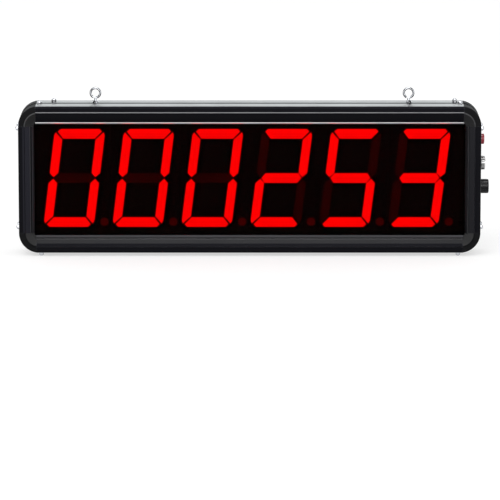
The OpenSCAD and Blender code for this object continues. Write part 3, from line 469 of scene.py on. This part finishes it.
class Surface:
    """One material with a Principled shader, whose inputs are set by name."""

    def __init__(self, name: str, **constants: object) -> None:
        """Starts the material.

        Args:
            name: The material's name.
            constants: Inputs of the shader that are the same all over.
        """
        self.material = bpy.data.materials.new(name)
        self.material.use_nodes = True
        self.material.node_tree.nodes.clear()
        self.sketch = Sketch(self.material.node_tree)
        self.shader = self.sketch.node("ShaderNodeBsdfPrincipled")
        self.sketch.feed(self.shader, **constants)
        output = self.sketch.node("ShaderNodeOutputMaterial")
        self.sketch.feed(output, Surface=self.shader.outputs["BSDF"])

    def vary(self, **inputs: Socket) -> None:
        """Links inputs of the shader that change over the surface."""
        self.sketch.feed(self.shader, **inputs)

    def raise_by(self, height: Socket, depth: float, share: float) -> None:
        """Adds relief.

        Args:
            height: Height from 0 to 1.
            depth: Height in metres where it is 1.
            share: Share of the relief that shows.
        """
        bump = self.sketch.node("ShaderNodeBump")
        self.sketch.feed(bump, Height=height, Distance=depth, Strength=share)
        self.vary(Normal=bump.outputs["Normal"])

    def feel(self, effects: SharedEffects, touch: Touch) -> tuple[Socket, Socket]:
        """Adds a fine grain.

        Args:
            effects: The shared effects.
            touch: The grain and the smudges.

        Returns:
            Masks of the grain's mottle and of the smudges.
        """
        grain = self.sketch.effect(effects.grain, Fineness=touch.fineness)
        smudge = self.sketch.effect(effects.handling, Patches=touch.patches)
        self.raise_by(grain.outputs["Height"], touch.depth, touch.share)
        return grain.outputs["Mottle"], smudge.outputs["Smudge"]


class Finish(ABC):
    """Finish that one or more pieces share."""

    @abstractmethod
    def build(self, effects: SharedEffects) -> bpy.types.Material:
        """Returns the material, made with the shared effects."""


@dataclass(frozen=True)
class Stripe:
    """Painted reflection: a line along a rail in a tone of its own, fitted to the photograph.

    Attributes:
        start: Distance of its near side from the display's middle, in metres.
        end: Distance of its far side from the display's middle, in metres.
        colour: Linear colour.
        fade: Length over which it falls off at each side, in metres.
    """

    start: float
    end: float
    colour: Colour
    fade: float = 0.3 * MM


@dataclass(frozen=True)
class AnodisedRail(Finish):
    """Black anodised aluminium with extrusion lines, painted edge highlights and reflections."""

    rail: str
    along: Axis
    painted_reflections: tuple[Stripe, ...]
    dark: Colour = (0.0040, 0.0040, 0.0050)
    light: Colour = (0.0085, 0.0085, 0.0105)
    edge_painted_highlight: Colour = (0.050, 0.050, 0.058)
    edge_highlight_w: float = 0.4 * MM
    gloss: tuple[float, float] = (0.26, 0.36)
    patches: float = 26.0
    line_depth: float = 0.01 * MM
    line_share: float = 0.5

    def build(self, effects: SharedEffects) -> bpy.types.Material:
        """Makes the material.

        Args:
            effects: The shared effects.

        Returns:
            The material.
        """
        surface = Surface(f"{self.rail}_anodising_painted_reflections", Metallic=1.0)
        sketch = surface.sketch
        lines = sketch.effect(effects.lines, Stretch=self.along.value)
        edge_highlight_mask = sketch.effect(effects.edges, Width=self.edge_highlight_w)
        smudge = sketch.effect(effects.handling, Patches=self.patches)
        streaked = sketch.mix(lines.outputs["Streaks"], self.dark, self.light)
        # Painted highlight along the rail's edges.
        colour = sketch.mix(edge_highlight_mask.outputs["Edge"], streaked, self.edge_painted_highlight)
        # Painted reflections along the rail, each in a tone of its own.
        for painted_reflection in self.painted_reflections:
            mask = sketch.effect(effects.painted_reflection, Across=self.along.across,
                                 From=painted_reflection.start, To=painted_reflection.end, Fade=painted_reflection.fade)
            colour = sketch.mix(mask.outputs["Stripe"], colour, painted_reflection.colour)
        surface.vary(Base_Color=colour,
                     Roughness=sketch.spread(smudge.outputs["Smudge"], *self.gloss))
        surface.raise_by(lines.outputs["Height"], self.line_depth, self.line_share)
        return surface.material


@dataclass(frozen=True)
class MouldedPlastic(Finish):
    """Moulded plastic or paint with a fine grain."""

    name: str
    dark: Colour = RESIN_DARK
    light: Colour = RESIN_LIGHT
    roughness: tuple[float, float] = (0.42, 0.56)
    specular: float = 0.45
    touch: Touch = Touch()

    def build(self, effects: SharedEffects) -> bpy.types.Material:
        """Makes the material.

        Args:
            effects: The shared effects.

        Returns:
            The material.
        """
        surface = Surface(self.name, Specular_IOR_Level=self.specular)
        mottle, smudge = surface.feel(effects, self.touch)
        surface.vary(Base_Color=surface.sketch.mix(mottle, self.dark, self.light),
                     Roughness=surface.sketch.spread(smudge, *self.roughness))
        return surface.material


@dataclass(frozen=True)
class CornerPlastic(Finish):
    """Moulded corner piece with painted light, its tones fitted to the photograph."""

    name: str
    middle: tuple[float, float, float]
    # The hollow is painted lighter, and the ridge at the rim's inner edge can carry a painted
    # highlight.
    dish_painted_light: Colour = (0.030, 0.030, 0.031)
    rim: Colour = (0.012, 0.012, 0.013)
    crest_painted_highlight: Colour = (0.012, 0.012, 0.013)
    rim_from: float = 14.4 * MM
    rim_to: float = 28.8 * MM
    crest_highlight_w: float = 1.5 * MM
    fade: float = 0.3 * MM
    mottled: float = 0.8
    roughness: tuple[float, float] = (0.50, 0.62)
    specular: float = 0.02
    touch: Touch = Touch()

    def build(self, effects: SharedEffects) -> bpy.types.Material:
        """Makes the material.

        Args:
            effects: The shared effects.

        Returns:
            The material.
        """
        surface = Surface(self.name, Specular_IOR_Level=self.specular)
        sketch = surface.sketch
        mottle, smudge = surface.feel(effects, self.touch)
        colour = sketch.mix(mottle, shade(self.dish_painted_light, self.mottled), self.dish_painted_light)
        half_highlight_w = self.crest_highlight_w / 2
        bands = (
            (self.rim_from, self.rim_to, self.rim),
            (self.rim_from - half_highlight_w, self.rim_from + half_highlight_w, self.crest_painted_highlight),
        )
        for start, end, tone in bands:
            mask = sketch.effect(effects.arc, Middle=self.middle, From=start, To=end,
                                 Fade=self.fade)
            colour = sketch.mix(mask.outputs["Band"], colour, tone)
        surface.vary(Base_Color=colour, Roughness=sketch.spread(smudge, *self.roughness))
        return surface.material


@dataclass(frozen=True)
class PlatedMetal(Finish):
    """Plated or bare metal with faint tooling marks."""

    name: str
    plating: Plating = Plating.ZINC
    dulled: float = 0.82
    smoother: float = 0.06
    rougher: float = 0.08
    touch: Touch = Touch(fineness=2600.0, patches=160.0, depth=0.01 * MM, share=0.4)

    def build(self, effects: SharedEffects) -> bpy.types.Material:
        """Makes the material.

        Args:
            effects: The shared effects.

        Returns:
            The material.
        """
        colour = self.plating.colour
        roughness = self.plating.roughness
        surface = Surface(self.name, Metallic=1.0)
        _, smudge = surface.feel(effects, self.touch)
        surface.vary(
            Base_Color=surface.sketch.mix(smudge, shade(colour, self.dulled), colour),
            Roughness=surface.sketch.spread(
                smudge, roughness - self.smoother, roughness + self.rougher
            ),
        )
        return surface.material


@dataclass(frozen=True)
class LightGuide(Finish):
    """Red light guide of one segment or decimal point, glowing, or dark with a painted glow.

    Attributes:
        name: The material's name.
        glow: Strength of the light, which for a dark guide is a faint painted glow.
        pitch: Distance between two modules, in metres.
        lit: Share of the glow that a segment shows. A decimal point shows all of it.
        point_from: Where a module's part with the decimal point starts, in metres.
        point_below: Height under which the decimal point lies, in metres.
    """

    name: str
    glow: float
    pitch: float
    lit: float = 1.0
    point_from: float = 57.4 * MM
    point_below: float = -36.0 * MM
    base: Colour = (0.050, 0.001, 0.001)
    deep: Colour = (1.0, 0.0, 0.0)
    bright: Colour = (1.0, 0.004, 0.002)
    mottled: float = 0.8
    roughness: tuple[float, float] = (0.35, 0.5)
    specular: float = 0.2
    touch: Touch = Touch(fineness=900.0, patches=90.0, depth=0.02 * MM, share=0.3)

    def build(self, effects: SharedEffects) -> bpy.types.Material:
        """Makes the material.

        Args:
            effects: The shared effects.

        Returns:
            The material.
        """
        surface = Surface(self.name, Specular_IOR_Level=self.specular,
                          Emission_Strength=self.glow)
        sketch = surface.sketch
        mottle, smudge = surface.feel(effects, self.touch)
        window = sketch.effect(effects.window, Pitch=self.pitch, From=self.point_from,
                               Below=self.point_below)
        glow = sketch.mix(smudge, shade(self.deep, self.lit), shade(self.bright, self.lit))
        surface.vary(
            Base_Color=sketch.mix(mottle, shade(self.base, self.mottled), self.base),
            Emission_Color=sketch.mix(window.outputs["Window"], glow, self.bright),
            Roughness=sketch.spread(smudge, *self.roughness),
        )
        return surface.material


@dataclass(frozen=True)
class TintedAcrylic(Finish):
    """Polished acrylic sheet, tinted dark red."""

    name: str
    tint: Colour = (0.32, 0.006, 0.010)
    deepened: float = 0.9
    ior: float = 1.06
    patches: float = 14.0
    roughness: tuple[float, float] = (0.0, 0.012)

    def build(self, effects: SharedEffects) -> bpy.types.Material:
        """Makes the material.

        Args:
            effects: The shared effects.

        Returns:
            The material.
        """
        surface = Surface(self.name, Metallic=0.0, Transmission_Weight=1.0, IOR=self.ior)
        sketch = surface.sketch
        smudge = sketch.effect(effects.handling, Patches=self.patches).outputs["Smudge"]
        surface.vary(Base_Color=sketch.mix(smudge, shade(self.tint, self.deepened), self.tint),
                     Roughness=sketch.spread(smudge, *self.roughness))
        return surface.material


@dataclass(frozen=True)
class SolderMask(Finish):
    """Circuit board with tracks under a green solder mask."""

    name: str
    mask: Colour = (0.002, 0.036, 0.018)
    track: Colour = (0.004, 0.070, 0.034)
    roughness: float = 0.35
    specular: float = 0.1
    pitch: float = 260.0
    stagger: float = 0.5
    stretch: float = 2.4
    stretch_every: int = 3
    track_w: float = 0.06
    track_edge: float = 0.1
    track_depth: float = 0.03 * MM
    track_share: float = 0.6

    def build(self, effects: SharedEffects) -> bpy.types.Material:
        """Makes the material.

        Args:
            effects: The shared effects, not needed here.

        Returns:
            The material.
        """
        surface = Surface(self.name, Roughness=self.roughness, Specular_IOR_Level=self.specular)
        sketch = surface.sketch
        turned = sketch.feed(sketch.node("ShaderNodeMapping"), Vector=sketch.place(),
                             Rotation=(math.radians(90), 0.0, 0.0))
        bricks = sketch.node("ShaderNodeTexBrick", offset=self.stagger, squash=self.stretch,
                             squash_frequency=self.stretch_every)
        sketch.feed(bricks, Vector=turned.outputs["Vector"], Scale=self.pitch,
                    Mortar_Size=self.track_w, Mortar_Smooth=self.track_edge)
        surface.vary(Base_Color=sketch.mix(bricks.outputs["Fac"], self.mask, self.track))
        surface.raise_by(bricks.outputs["Fac"], self.track_depth, self.track_share)
        return surface.material


def dress(material: bpy.types.Material, *nodes: str) -> None:
    """Gives CAD nodes a material.

    Args:
        material: The material.
        nodes: Names of the nodes.
    """
    for name in nodes:
        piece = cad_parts[name]
        piece.data.materials.clear()
        piece.data.materials.append(material)
        log.info("dressed %s in %s", name, material.name)


def new_object(name: str, data: bpy.types.ID) -> bpy.types.Object:
    """Makes an object.

    Args:
        name: The object's name.
        data: Its mesh, light or camera.

    Returns:
        The object, linked to the scene.
    """
    made = bpy.data.objects.new(name, data)
    bpy.context.scene.collection.objects.link(made)
    return made


def new_mesh(
    name: str, points: Sequence[Vector], faces: Sequence[Sequence[int]]
) -> bpy.types.Object:
    """Makes a smooth mesh object.

    Args:
        name: The object's name.
        points: Its vertices, in metres in the row frame.
        faces: Its faces, as indices of vertices.

    Returns:
        The object, linked to the scene.
    """
    mesh = bpy.data.meshes.new(name)
    mesh.from_pydata(points, [], faces)
    welded = bmesh.new()
    welded.from_mesh(mesh)
    bmesh.ops.recalc_face_normals(welded, faces=welded.faces)
    welded.to_mesh(mesh)
    welded.free()
    mesh.shade_smooth()
    mesh.set_sharp_from_angle(angle=SHARP_EDGE)
    return new_object(name, mesh)


def lathe(
    name: str,
    profile: Sequence[tuple[float, float]],
    steps: int,
    swell: Callable[[float, float, float], float],
    place: Matrix,
) -> bpy.types.Object:
    """Turns a closed profile round an axis.

    Args:
        name: The object's name.
        profile: Points as radius and height, in order round the section.
        steps: Number of steps round the axis.
        swell: Gives the radius from a radius, a height and an angle.
        place: Carries the axis and its foot into the row frame.

    Returns:
        The turned object, a closed ring.
    """
    count = len(profile)
    points = []
    faces = []
    for step in range(steps):
        angle = math.tau * step / steps
        for radius, height in profile:
            grown = swell(radius, height, angle)
            local = Vector((grown * math.cos(angle), grown * math.sin(angle), height))
            points.append(place @ local)
        following = (step + 1) % steps
        for index in range(count):
            after = (index + 1) % count
            faces.append((step * count + index, following * count + index,
                          following * count + after, step * count + after))
    return new_mesh(name, points, faces)


class SubAssembly(ABC):
    """Part of the display that makes and dresses its own pieces."""

    @abstractmethod
    def build(self, effects: SharedEffects) -> None:
        """Makes and dresses the pieces with the shared effects."""


@dataclass
class FrameAssembly(SubAssembly):
    """Extruded rails, moulded corner pieces and the screws that join them."""

    corner_r: float = 21.0 * MM
    # Painted highlight on the upper corners' ridge and painted light on the lower corners' hollow.
    upper_crest_painted_highlight: Colour = (0.085, 0.085, 0.088)
    lower_dish_painted_light: Colour = (0.048, 0.048, 0.049)
    # Painted reflections: light lines on bead, ridge and hollow, different on each rail.
    rails: tuple[AnodisedRail, ...] = (
        AnodisedRail("top_rail", Axis.LEVEL, (
            Stripe(58.7 * MM, 60.5 * MM, (0.90, 0.92, 0.93)),
            Stripe(70.1 * MM, 71.15 * MM, (0.29, 0.29, 0.30)),
        )),
        AnodisedRail("bottom_rail", Axis.LEVEL, (
            Stripe(57.9 * MM, 67.0 * MM, (0.017, 0.017, 0.018)),
            Stripe(57.9 * MM, 60.0 * MM, (0.011, 0.011, 0.012)),
            Stripe(60.1 * MM, 62.6 * MM, (0.070, 0.070, 0.073)),
        )),
        AnodisedRail("left_rail", Axis.UPRIGHT, (
            Stripe(223.4 * MM, 235.5 * MM, (0.014, 0.014, 0.018)),
            Stripe(223.8 * MM, 226.2 * MM, (0.030, 0.030, 0.034)),
            Stripe(226.2 * MM, 228.0 * MM, (0.045, 0.045, 0.048)),
        )),
        AnodisedRail("right_rail", Axis.UPRIGHT, (
            Stripe(223.4 * MM, 233.0 * MM, (0.014, 0.014, 0.016)),
            Stripe(226.0 * MM, 227.2 * MM, (0.260, 0.260, 0.270)),
        )),
    )

    def build(self, effects: SharedEffects) -> None:
        """Dresses the rails, corner pieces and screws.

        Args:
            effects: The shared effects.
        """
        for finish in self.rails:
            dress(finish.build(effects), finish.rail)
        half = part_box("right_rail")[1].x
        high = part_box("top_rail")[1].z
        middle = (half - self.corner_r, 0.0, high - self.corner_r)
        # Lit and shaded copies of one plastic, for the upper and the lower corners.
        upper = CornerPlastic("upper_corner_painted_highlight", middle, crest_painted_highlight=self.upper_crest_painted_highlight)
        lower = CornerPlastic("lower_corner_painted_light", middle, dish_painted_light=self.lower_dish_painted_light)
        dress(upper.build(effects), "corner_top_left", "corner_top_right")
        dress(lower.build(effects), "corner_bottom_left", "corner_bottom_right")
        dress(PlatedMetal("screw_zinc").build(effects), "frame_screws")


@dataclass
class RearClosing(SubAssembly):
    """Sheet cover of the rear with its countersunk screws."""

    paint: MouldedPlastic = MouldedPlastic(
        "cover_paint", (0.014, 0.014, 0.015), (0.020, 0.020, 0.022),
        roughness=(0.48, 0.62), touch=Touch(fineness=900.0, depth=0.08 * MM),
    )

    def build(self, effects: SharedEffects) -> None:
        """Dresses the cover and its screws."""
        dress(self.paint.build(effects), "rear_cover")
        dress(PlatedMetal("cover_screw_zinc").build(effects), "cover_screws")


@dataclass
class HangingEyes(SubAssembly):
    """Wire eyes on the top rail, with their nuts and washers."""

    wire: PlatedMetal = PlatedMetal("eye_nickel", Plating.WIRE)

    def build(self, effects: SharedEffects) -> None:
        """Dresses the eyes in nickel and their nuts and washers in zinc."""
        dress(self.wire.build(effects), "eye_bolts")
        dress(PlatedMetal("eye_zinc").build(effects), "eye_nuts", "eye_washers")


@dataclass
class DigitRow(SubAssembly):
    """Six digit modules behind the lens."""

    digits: int = 6
    lit_glow: float = 3.15
    # Unlit segments and points keep a faint painted glow, in place of the light that falls on
    # them.
    dark_painted_glow: float = 0.072
    dark_painted_share: float = 0.1125
    housing: MouldedPlastic = MouldedPlastic(
        "housing_plastic", (0.0012, 0.0010, 0.0010), (0.0022, 0.0018, 0.0018),
        roughness=(0.6, 0.75), specular=0.08,
    )

    def build(self, effects: SharedEffects) -> None:
        """Dresses each module's housing and light guides, and the lens.

        Args:
            effects: The shared effects.
        """
        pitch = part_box("digit_2_housing")[0].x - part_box("digit_1_housing")[0].x
        lit = LightGuide("lit_guide", self.lit_glow, pitch).build(effects)
        dark = LightGuide("dark_guide_painted_glow", self.dark_painted_glow, pitch, self.dark_painted_share).build(effects)
        housing = self.housing.build(effects)
        for number in range(1, self.digits + 1):
            dress(housing, f"digit_{number}_housing")
            dress(lit, f"digit_{number}_lit_segments")
            dress(dark, f"digit_{number}_dark_segments")
        dress(TintedAcrylic("lens_acrylic").build(effects), "front_lens")


@dataclass
class Electronics(SubAssembly):
    """Circuit boards and what they carry inside the closed frame."""

    finishes: tuple[tuple[Finish, tuple[str, ...]], ...] = (
        (SolderMask("solder_mask"), ("display_board", "control_board", "power_board")),
        (MouldedPlastic("chip_resin"), ("control_chips", "ribbon_headers")),
        (MouldedPlastic("terminal_nylon", (0.02, 0.15, 0.06), (0.03, 0.19, 0.08)),
         ("terminal_block",)),
        (MouldedPlastic("capacitor_sleeve", (0.012, 0.016, 0.05), (0.02, 0.026, 0.08)),
         ("capacitors",)),
        (MouldedPlastic("winding_tape", (0.50, 0.36, 0.04), (0.62, 0.46, 0.06)),
         ("power_transformer",)),
        (MouldedPlastic("ribbon_sheath", (0.22, 0.22, 0.24), (0.30, 0.30, 0.33)),
         ("ribbon_cable",)),
        (PlatedMetal("sink_aluminium", Plating.ALUMINIUM), ("power_heat_sink",)),
        (PlatedMetal("standoff_zinc"), ("board_standoffs", "board_screws")),
        (PlatedMetal("standoff_black", Plating.BLACKENED),
         ("display_standoffs", "display_screws")),
    )

    def build(self, effects: SharedEffects) -> None:
        """Dresses the boards, their parts and their fasteners."""
        for finish, nodes in self.finishes:
            dress(finish.build(effects), *nodes)


@dataclass
class ResetButton(SubAssembly):
    """Red push button in a black sleeve."""

    sleeve: MouldedPlastic = MouldedPlastic("sleeve_plastic")
    cap: MouldedPlastic = MouldedPlastic(
        "cap_plastic", (0.40, 0.002, 0.020), (0.50, 0.003, 0.026),
        roughness=(0.06, 0.12), touch=Touch(fineness=700.0, depth=0.01 * MM),
    )

    def build(self, effects: SharedEffects) -> None:
        """Dresses the sleeve, cap, nut and spring.

        Args:
            effects: The shared effects.
        """
        dress(self.sleeve.build(effects), "reset_button_body")
        dress(self.cap.build(effects), "reset_button_cap")
        dress(PlatedMetal("button_zinc").build(effects), "reset_button_nut",
              "reset_button_spring")


@dataclass
class SignalSocket(SubAssembly):
    """Round signal socket whose collar has a fine screw thread."""

    shell: str = "signal_socket_shell"
    collar_r: float = 7.6 * MM
    rear_r: float = 6.3 * MM
    bore_r: float = 5.2 * MM
    rear_bore_r: float = 4.5 * MM
    insert_seat: float = 8.0 * MM
    plain_foot: float = 0.8 * MM
    lead_in: float = 0.4 * MM
    lead_in_drop: float = 0.2 * MM
    uncut_margin: float = 0.01 * MM
    pitch: float = 1.0 * MM
    thread_deep: float = 0.55 * MM
    steps: int = 96
    per_pitch: int = 8

    def thread(self, radius: float, height: float, angle: float) -> float:
        """Cuts the thread into a radius.

        Args:
            radius: Radius before cutting.
            height: Height over the right face.
            angle: Angle round the axis.

        Returns:
            The radius, lower in the thread's grooves.
        """
        if radius < self.collar_r - self.lead_in:
            return radius
        turn = (height / self.pitch - angle / math.tau) % 1.0
        return radius - self.thread_deep * abs(2.0 * turn - 1.0)

    def profile(self, rear: float, out: float) -> list[tuple[float, float]]:
        """Returns the shell's closed section.

        Args:
            rear: Height of its rear end, below zero.
            out: Height of its mouth.

        Returns:
            Points as radius and height, from the rear end outside to the rear end inside.
        """
        threaded = out - self.lead_in - self.plain_foot
        rows = math.ceil(threaded / self.pitch * self.per_pitch)
        step = threaded / rows
        ring = self.collar_r - self.lead_in - self.uncut_margin
        section = [(self.rear_r, rear), (self.rear_r, 0.0), (ring, 0.0),
                   (ring, self.plain_foot)]
        section += [(self.collar_r, self.plain_foot + index * step) for index in range(rows + 1)]
        section += [(ring - self.lead_in_drop, out), (self.bore_r, out),
                    (self.bore_r, -self.insert_seat), (self.rear_bore_r, -self.insert_seat),
                    (self.rear_bore_r, rear)]
        return section

    def build(self, effects: SharedEffects) -> None:
        """Makes the threaded shell and dresses the socket.

        Args:
            effects: The shared effects.
        """
        low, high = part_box(self.shell)
        middle = (low + high) / 2
        wall_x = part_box("right_rail")[1].x
        sideways = Matrix.Rotation(math.radians(90), 4, "Y")
        place = Matrix.Translation((wall_x, middle.y, middle.z)) @ sideways
        section = self.profile(low.x - wall_x, high.x - wall_x)
        shell = lathe("signal_socket_thread", section, self.steps, self.thread, place)
        nickel = PlatedMetal("socket_nickel", Plating.NICKEL).build(effects)
        shell.data.materials.append(nickel)
        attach(shell, "frame")
        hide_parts(self.shell)
        log.info("built %s", shell.name)
        dress(nickel, "signal_socket_nut")
        dress(MouldedPlastic("socket_resin").build(effects), "signal_socket_insert")
        dress(PlatedMetal("socket_brass", Plating.BRASS).build(effects), "signal_socket_pins")


@dataclass
class PowerInlet(SubAssembly):
    """Black ribbed inlet for the supply."""

    shell: MouldedPlastic = MouldedPlastic(
        "inlet_plastic", (0.003, 0.003, 0.005), (0.006, 0.006, 0.009),
        roughness=(0.05, 0.10), specular=0.14, touch=Touch(fineness=1100.0, depth=0.01 * MM),
    )

    def build(self, effects: SharedEffects) -> None:
        """Dresses the inlet, its nut, insert and pins.

        Args:
            effects: The shared effects.
        """
        dress(self.shell.build(effects), "power_inlet_shell", "power_inlet_insert")
        dress(PlatedMetal("inlet_zinc").build(effects), "power_inlet_nut")
        dress(PlatedMetal("inlet_brass", Plating.BRASS).build(effects), "power_inlet_pins")


@dataclass(frozen=True)
class Panel:
    """Rectangle away from the display, for its reflections.

    Attributes:
        name: The object's name.
        towards: Its direction from the display.
        width: Its level side, in metres.
        height: Its other side, in metres.
    """

    name: str
    towards: Vector
    width: float
    height: float


@dataclass(frozen=True)
class Card(Panel):
    """Bright panel, which glossy surfaces mirror and which lights no matt surface."""

    radiance: float
    colour: Colour = (1.0, 1.0, 1.0)


@dataclass
class Studio:
    """Pale floor, soft light, panels for the reflections, and the camera.

    Attributes:
        target: Point that the camera and the lamps face.
        floor_z: Height of the floor.
        elevation: The camera's height over the level, in degrees.
        picture: Side of the photograph, in pixels.
        centre_x: Column of the target in the photograph, in pixels.
        centre_y: Row of the target in the photograph, in pixels.
        ambient: Strength of the world's light on surfaces.
        card_watts: Power of a card for each square metre and each unit of radiance.
    """

    target: Vector
    floor_z: float
    elevation: float = 9.6
    distance: float = 4.0
    lens: float = 277.5
    sensor: float = 36.0
    clip_end: float = 50.0
    picture: float = 500.0
    centre_x: float = 249.7
    centre_y: float = 179.6
    floor_size: float = 12.0
    floor_colour: Colour = (0.50, 0.50, 0.50)
    floor_glow: float = 0.60
    floor_roughness: float = 0.9
    ambient: float = 0.75
    key_power: float = 38.0
    key_size: float = 2.2
    key_place: Vector = Vector((-0.8, -2.2, 2.6))
    card_reach: float = 2.4
    card_watts: float = 4.0
    cards: tuple[Card, ...] = (
        Card("card_front", Vector((0.0, -0.75, 0.66)), 1.8, 0.5, 5.0),
        Card("card_low", Vector((0.0, -0.97, 0.23)), 1.2, 0.70, 7.2),
        Card("card_left", Vector((-0.78, -0.62, 0.06)), 0.6, 0.9, 4.5),
        Card("card_right", Vector((0.78, -0.62, 0.10)), 0.6, 1.2, 6.0),
        Card("card_back", Vector((0.0, 0.96, 0.28)), 2.4, 0.8, 1.12, (0.90, 0.98, 1.0)),
        Card("card_ceiling", Vector((0.0, -0.16, 0.99)), 1.5, 0.6, 8.0),
    )
    flag_reach: float = 2.7
    flags: tuple[Panel, ...] = (
        Panel("flag_front", Vector((0.0, -0.79, 0.61)), 3.2, 3.4),
        Panel("flag_left", Vector((-0.86, -0.34, 0.38)), 3.4, 2.4),
        Panel("flag_right", Vector((0.86, -0.34, 0.38)), 3.4, 2.4),
    )

    def build(self) -> None:
        """Makes the world, floor, lamp, cards, flags and camera."""
        self.make_world()
        self.make_floor()
        self.make_lamp()
        for card in self.cards:
            self.make_card(card)
        cloth = Surface("flag_cloth", Roughness=1.0, Specular_IOR_Level=0.0, Base_Color=BLACK)
        for flag in self.flags:
            self.make_flag(flag, cloth.material)
        self.make_camera()

    def facing(self, place: Vector) -> Quaternion:
        """Returns the turn that makes a lamp, a panel or the camera face the target."""
        return (self.target - place).to_track_quat("-Z", "Y")

    @staticmethod
    def seen_directly(sketch: Sketch) -> Socket:
        """Tells the rays that show a thing apart from those that light one.

        Args:
            sketch: Sketch of the material or the world.

        Returns:
            1 for rays of the camera, of reflections and of transmission, else 0.
        """
        path = sketch.node("ShaderNodeLightPath")
        seen = sketch.math("MAXIMUM", path.outputs["Is Camera Ray"], path.outputs["Is Glossy Ray"])
        return sketch.math("MAXIMUM", seen, path.outputs["Is Transmission Ray"])

    def make_world(self) -> None:
        """Makes a white background with an even, lower light on surfaces."""
        world = bpy.data.worlds.new("studio")
        bpy.context.scene.world = world
        world.use_nodes = True
        world.node_tree.nodes.clear()
        sketch = Sketch(world.node_tree)
        level = sketch.spread(self.seen_directly(sketch), self.ambient, 1.0)
        background = sketch.feed(sketch.node("ShaderNodeBackground"), Color=WHITE, Strength=level)
        sketch.feed(sketch.node("ShaderNodeOutputWorld"), Surface=background.outputs[0])

    def make_floor(self) -> None:
        """Makes the floor that the display stands on, white and with its shadow."""
        side = self.floor_size
        points = [Vector((x * side, y * side, self.floor_z)) for x, y in SHEET]
        floor = new_mesh("floor", points, [range(len(SHEET))])
        surface = Surface("floor_paper", Roughness=self.floor_roughness, Specular_IOR_Level=0.0,
                          Base_Color=(*self.floor_colour, 1.0), Emission_Color=WHITE)
        seen = self.seen_directly(surface.sketch)
        surface.vary(Emission_Strength=surface.sketch.spread(seen, 0.0, self.floor_glow))
        floor.data.materials.append(surface.material)
        floor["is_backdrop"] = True

    def make_lamp(self) -> None:
        """Makes one large soft lamp, high in front of the display and to its left."""
        light = bpy.data.lights.new("key", "AREA")
        light.energy = self.key_power
        light.size = self.key_size
        lamp = new_object("key", light)
        lamp.location = self.key_place
        lamp.rotation_euler = self.facing(self.key_place).to_euler()

    def make_card(self, card: Card) -> None:
        """Makes one bright card.

        Args:
            card: Its direction, size, radiance and colour.
        """
        light = bpy.data.lights.new(card.name, "AREA")
        light.shape = "RECTANGLE"
        light.size = card.width
        light.size_y = card.height
        light.energy = self.card_watts * card.radiance * card.width * card.height
        light.color = card.colour
        lamp = new_object(card.name, light)
        lamp.location = self.target + self.card_reach * card.towards
        lamp.rotation_euler = self.facing(lamp.location).to_euler()
        lamp.visible_diffuse = False
        lamp.visible_camera = False

    def make_flag(self, flag: Panel, cloth: bpy.types.Material) -> None:
        """Makes one black flag.

        Args:
            flag: Its direction and size.
            cloth: Its material.
        """
        place = self.target + self.flag_reach * flag.towards
        turn = self.facing(place)
        points = [place + turn @ Vector((x * flag.width, y * flag.height, 0.0))
                  for x, y in SHEET]
        board = new_mesh(flag.name, points, [range(len(SHEET))])
        board.data.materials.append(cloth)
        board.visible_camera = False
        board.visible_diffuse = False
        board.visible_transmission = False
        board.visible_shadow = False
        board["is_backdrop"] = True

    def make_camera(self) -> None:
        """Sets the camera so that the front's middle falls where the photograph has it."""
        lens = bpy.data.cameras.new("camera")
        lens.lens = self.lens
        lens.sensor_width = self.sensor
        lens.clip_end = self.clip_end
        lens.shift_x = (self.picture / 2 - self.centre_x) / self.picture
        lens.shift_y = (self.centre_y - self.picture / 2) / self.picture
        camera = new_object("camera", lens)
        tilt = math.radians(self.elevation)
        away = Vector((0.0, -math.cos(tilt), math.sin(tilt)))
        camera.location = self.target + self.distance * away
        camera.rotation_euler = self.facing(camera.location).to_euler()
        bpy.context.scene.camera = camera


def main() -> None:
    """Builds the display's sub-assemblies in order, then the studio."""
    logging.basicConfig(level=logging.INFO, format="%(name)s: %(message)s")
    bpy.context.scene.view_settings.view_transform = "Standard"
    effects = SharedEffects()
    parts: tuple[SubAssembly, ...] = (
        FrameAssembly(), RearClosing(), HangingEyes(), DigitRow(), Electronics(),
        ResetButton(), SignalSocket(), PowerInlet(),
    )
    for part in parts:
        log.info("building %s", type(part).__name__)
        part.build(effects)
    front_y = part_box("front_lens")[0].y
    Studio(target=Vector((0.0, front_y, 0.0)), floor_z=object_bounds()[0][2]).build()


if __name__ == "__main__":
    main()
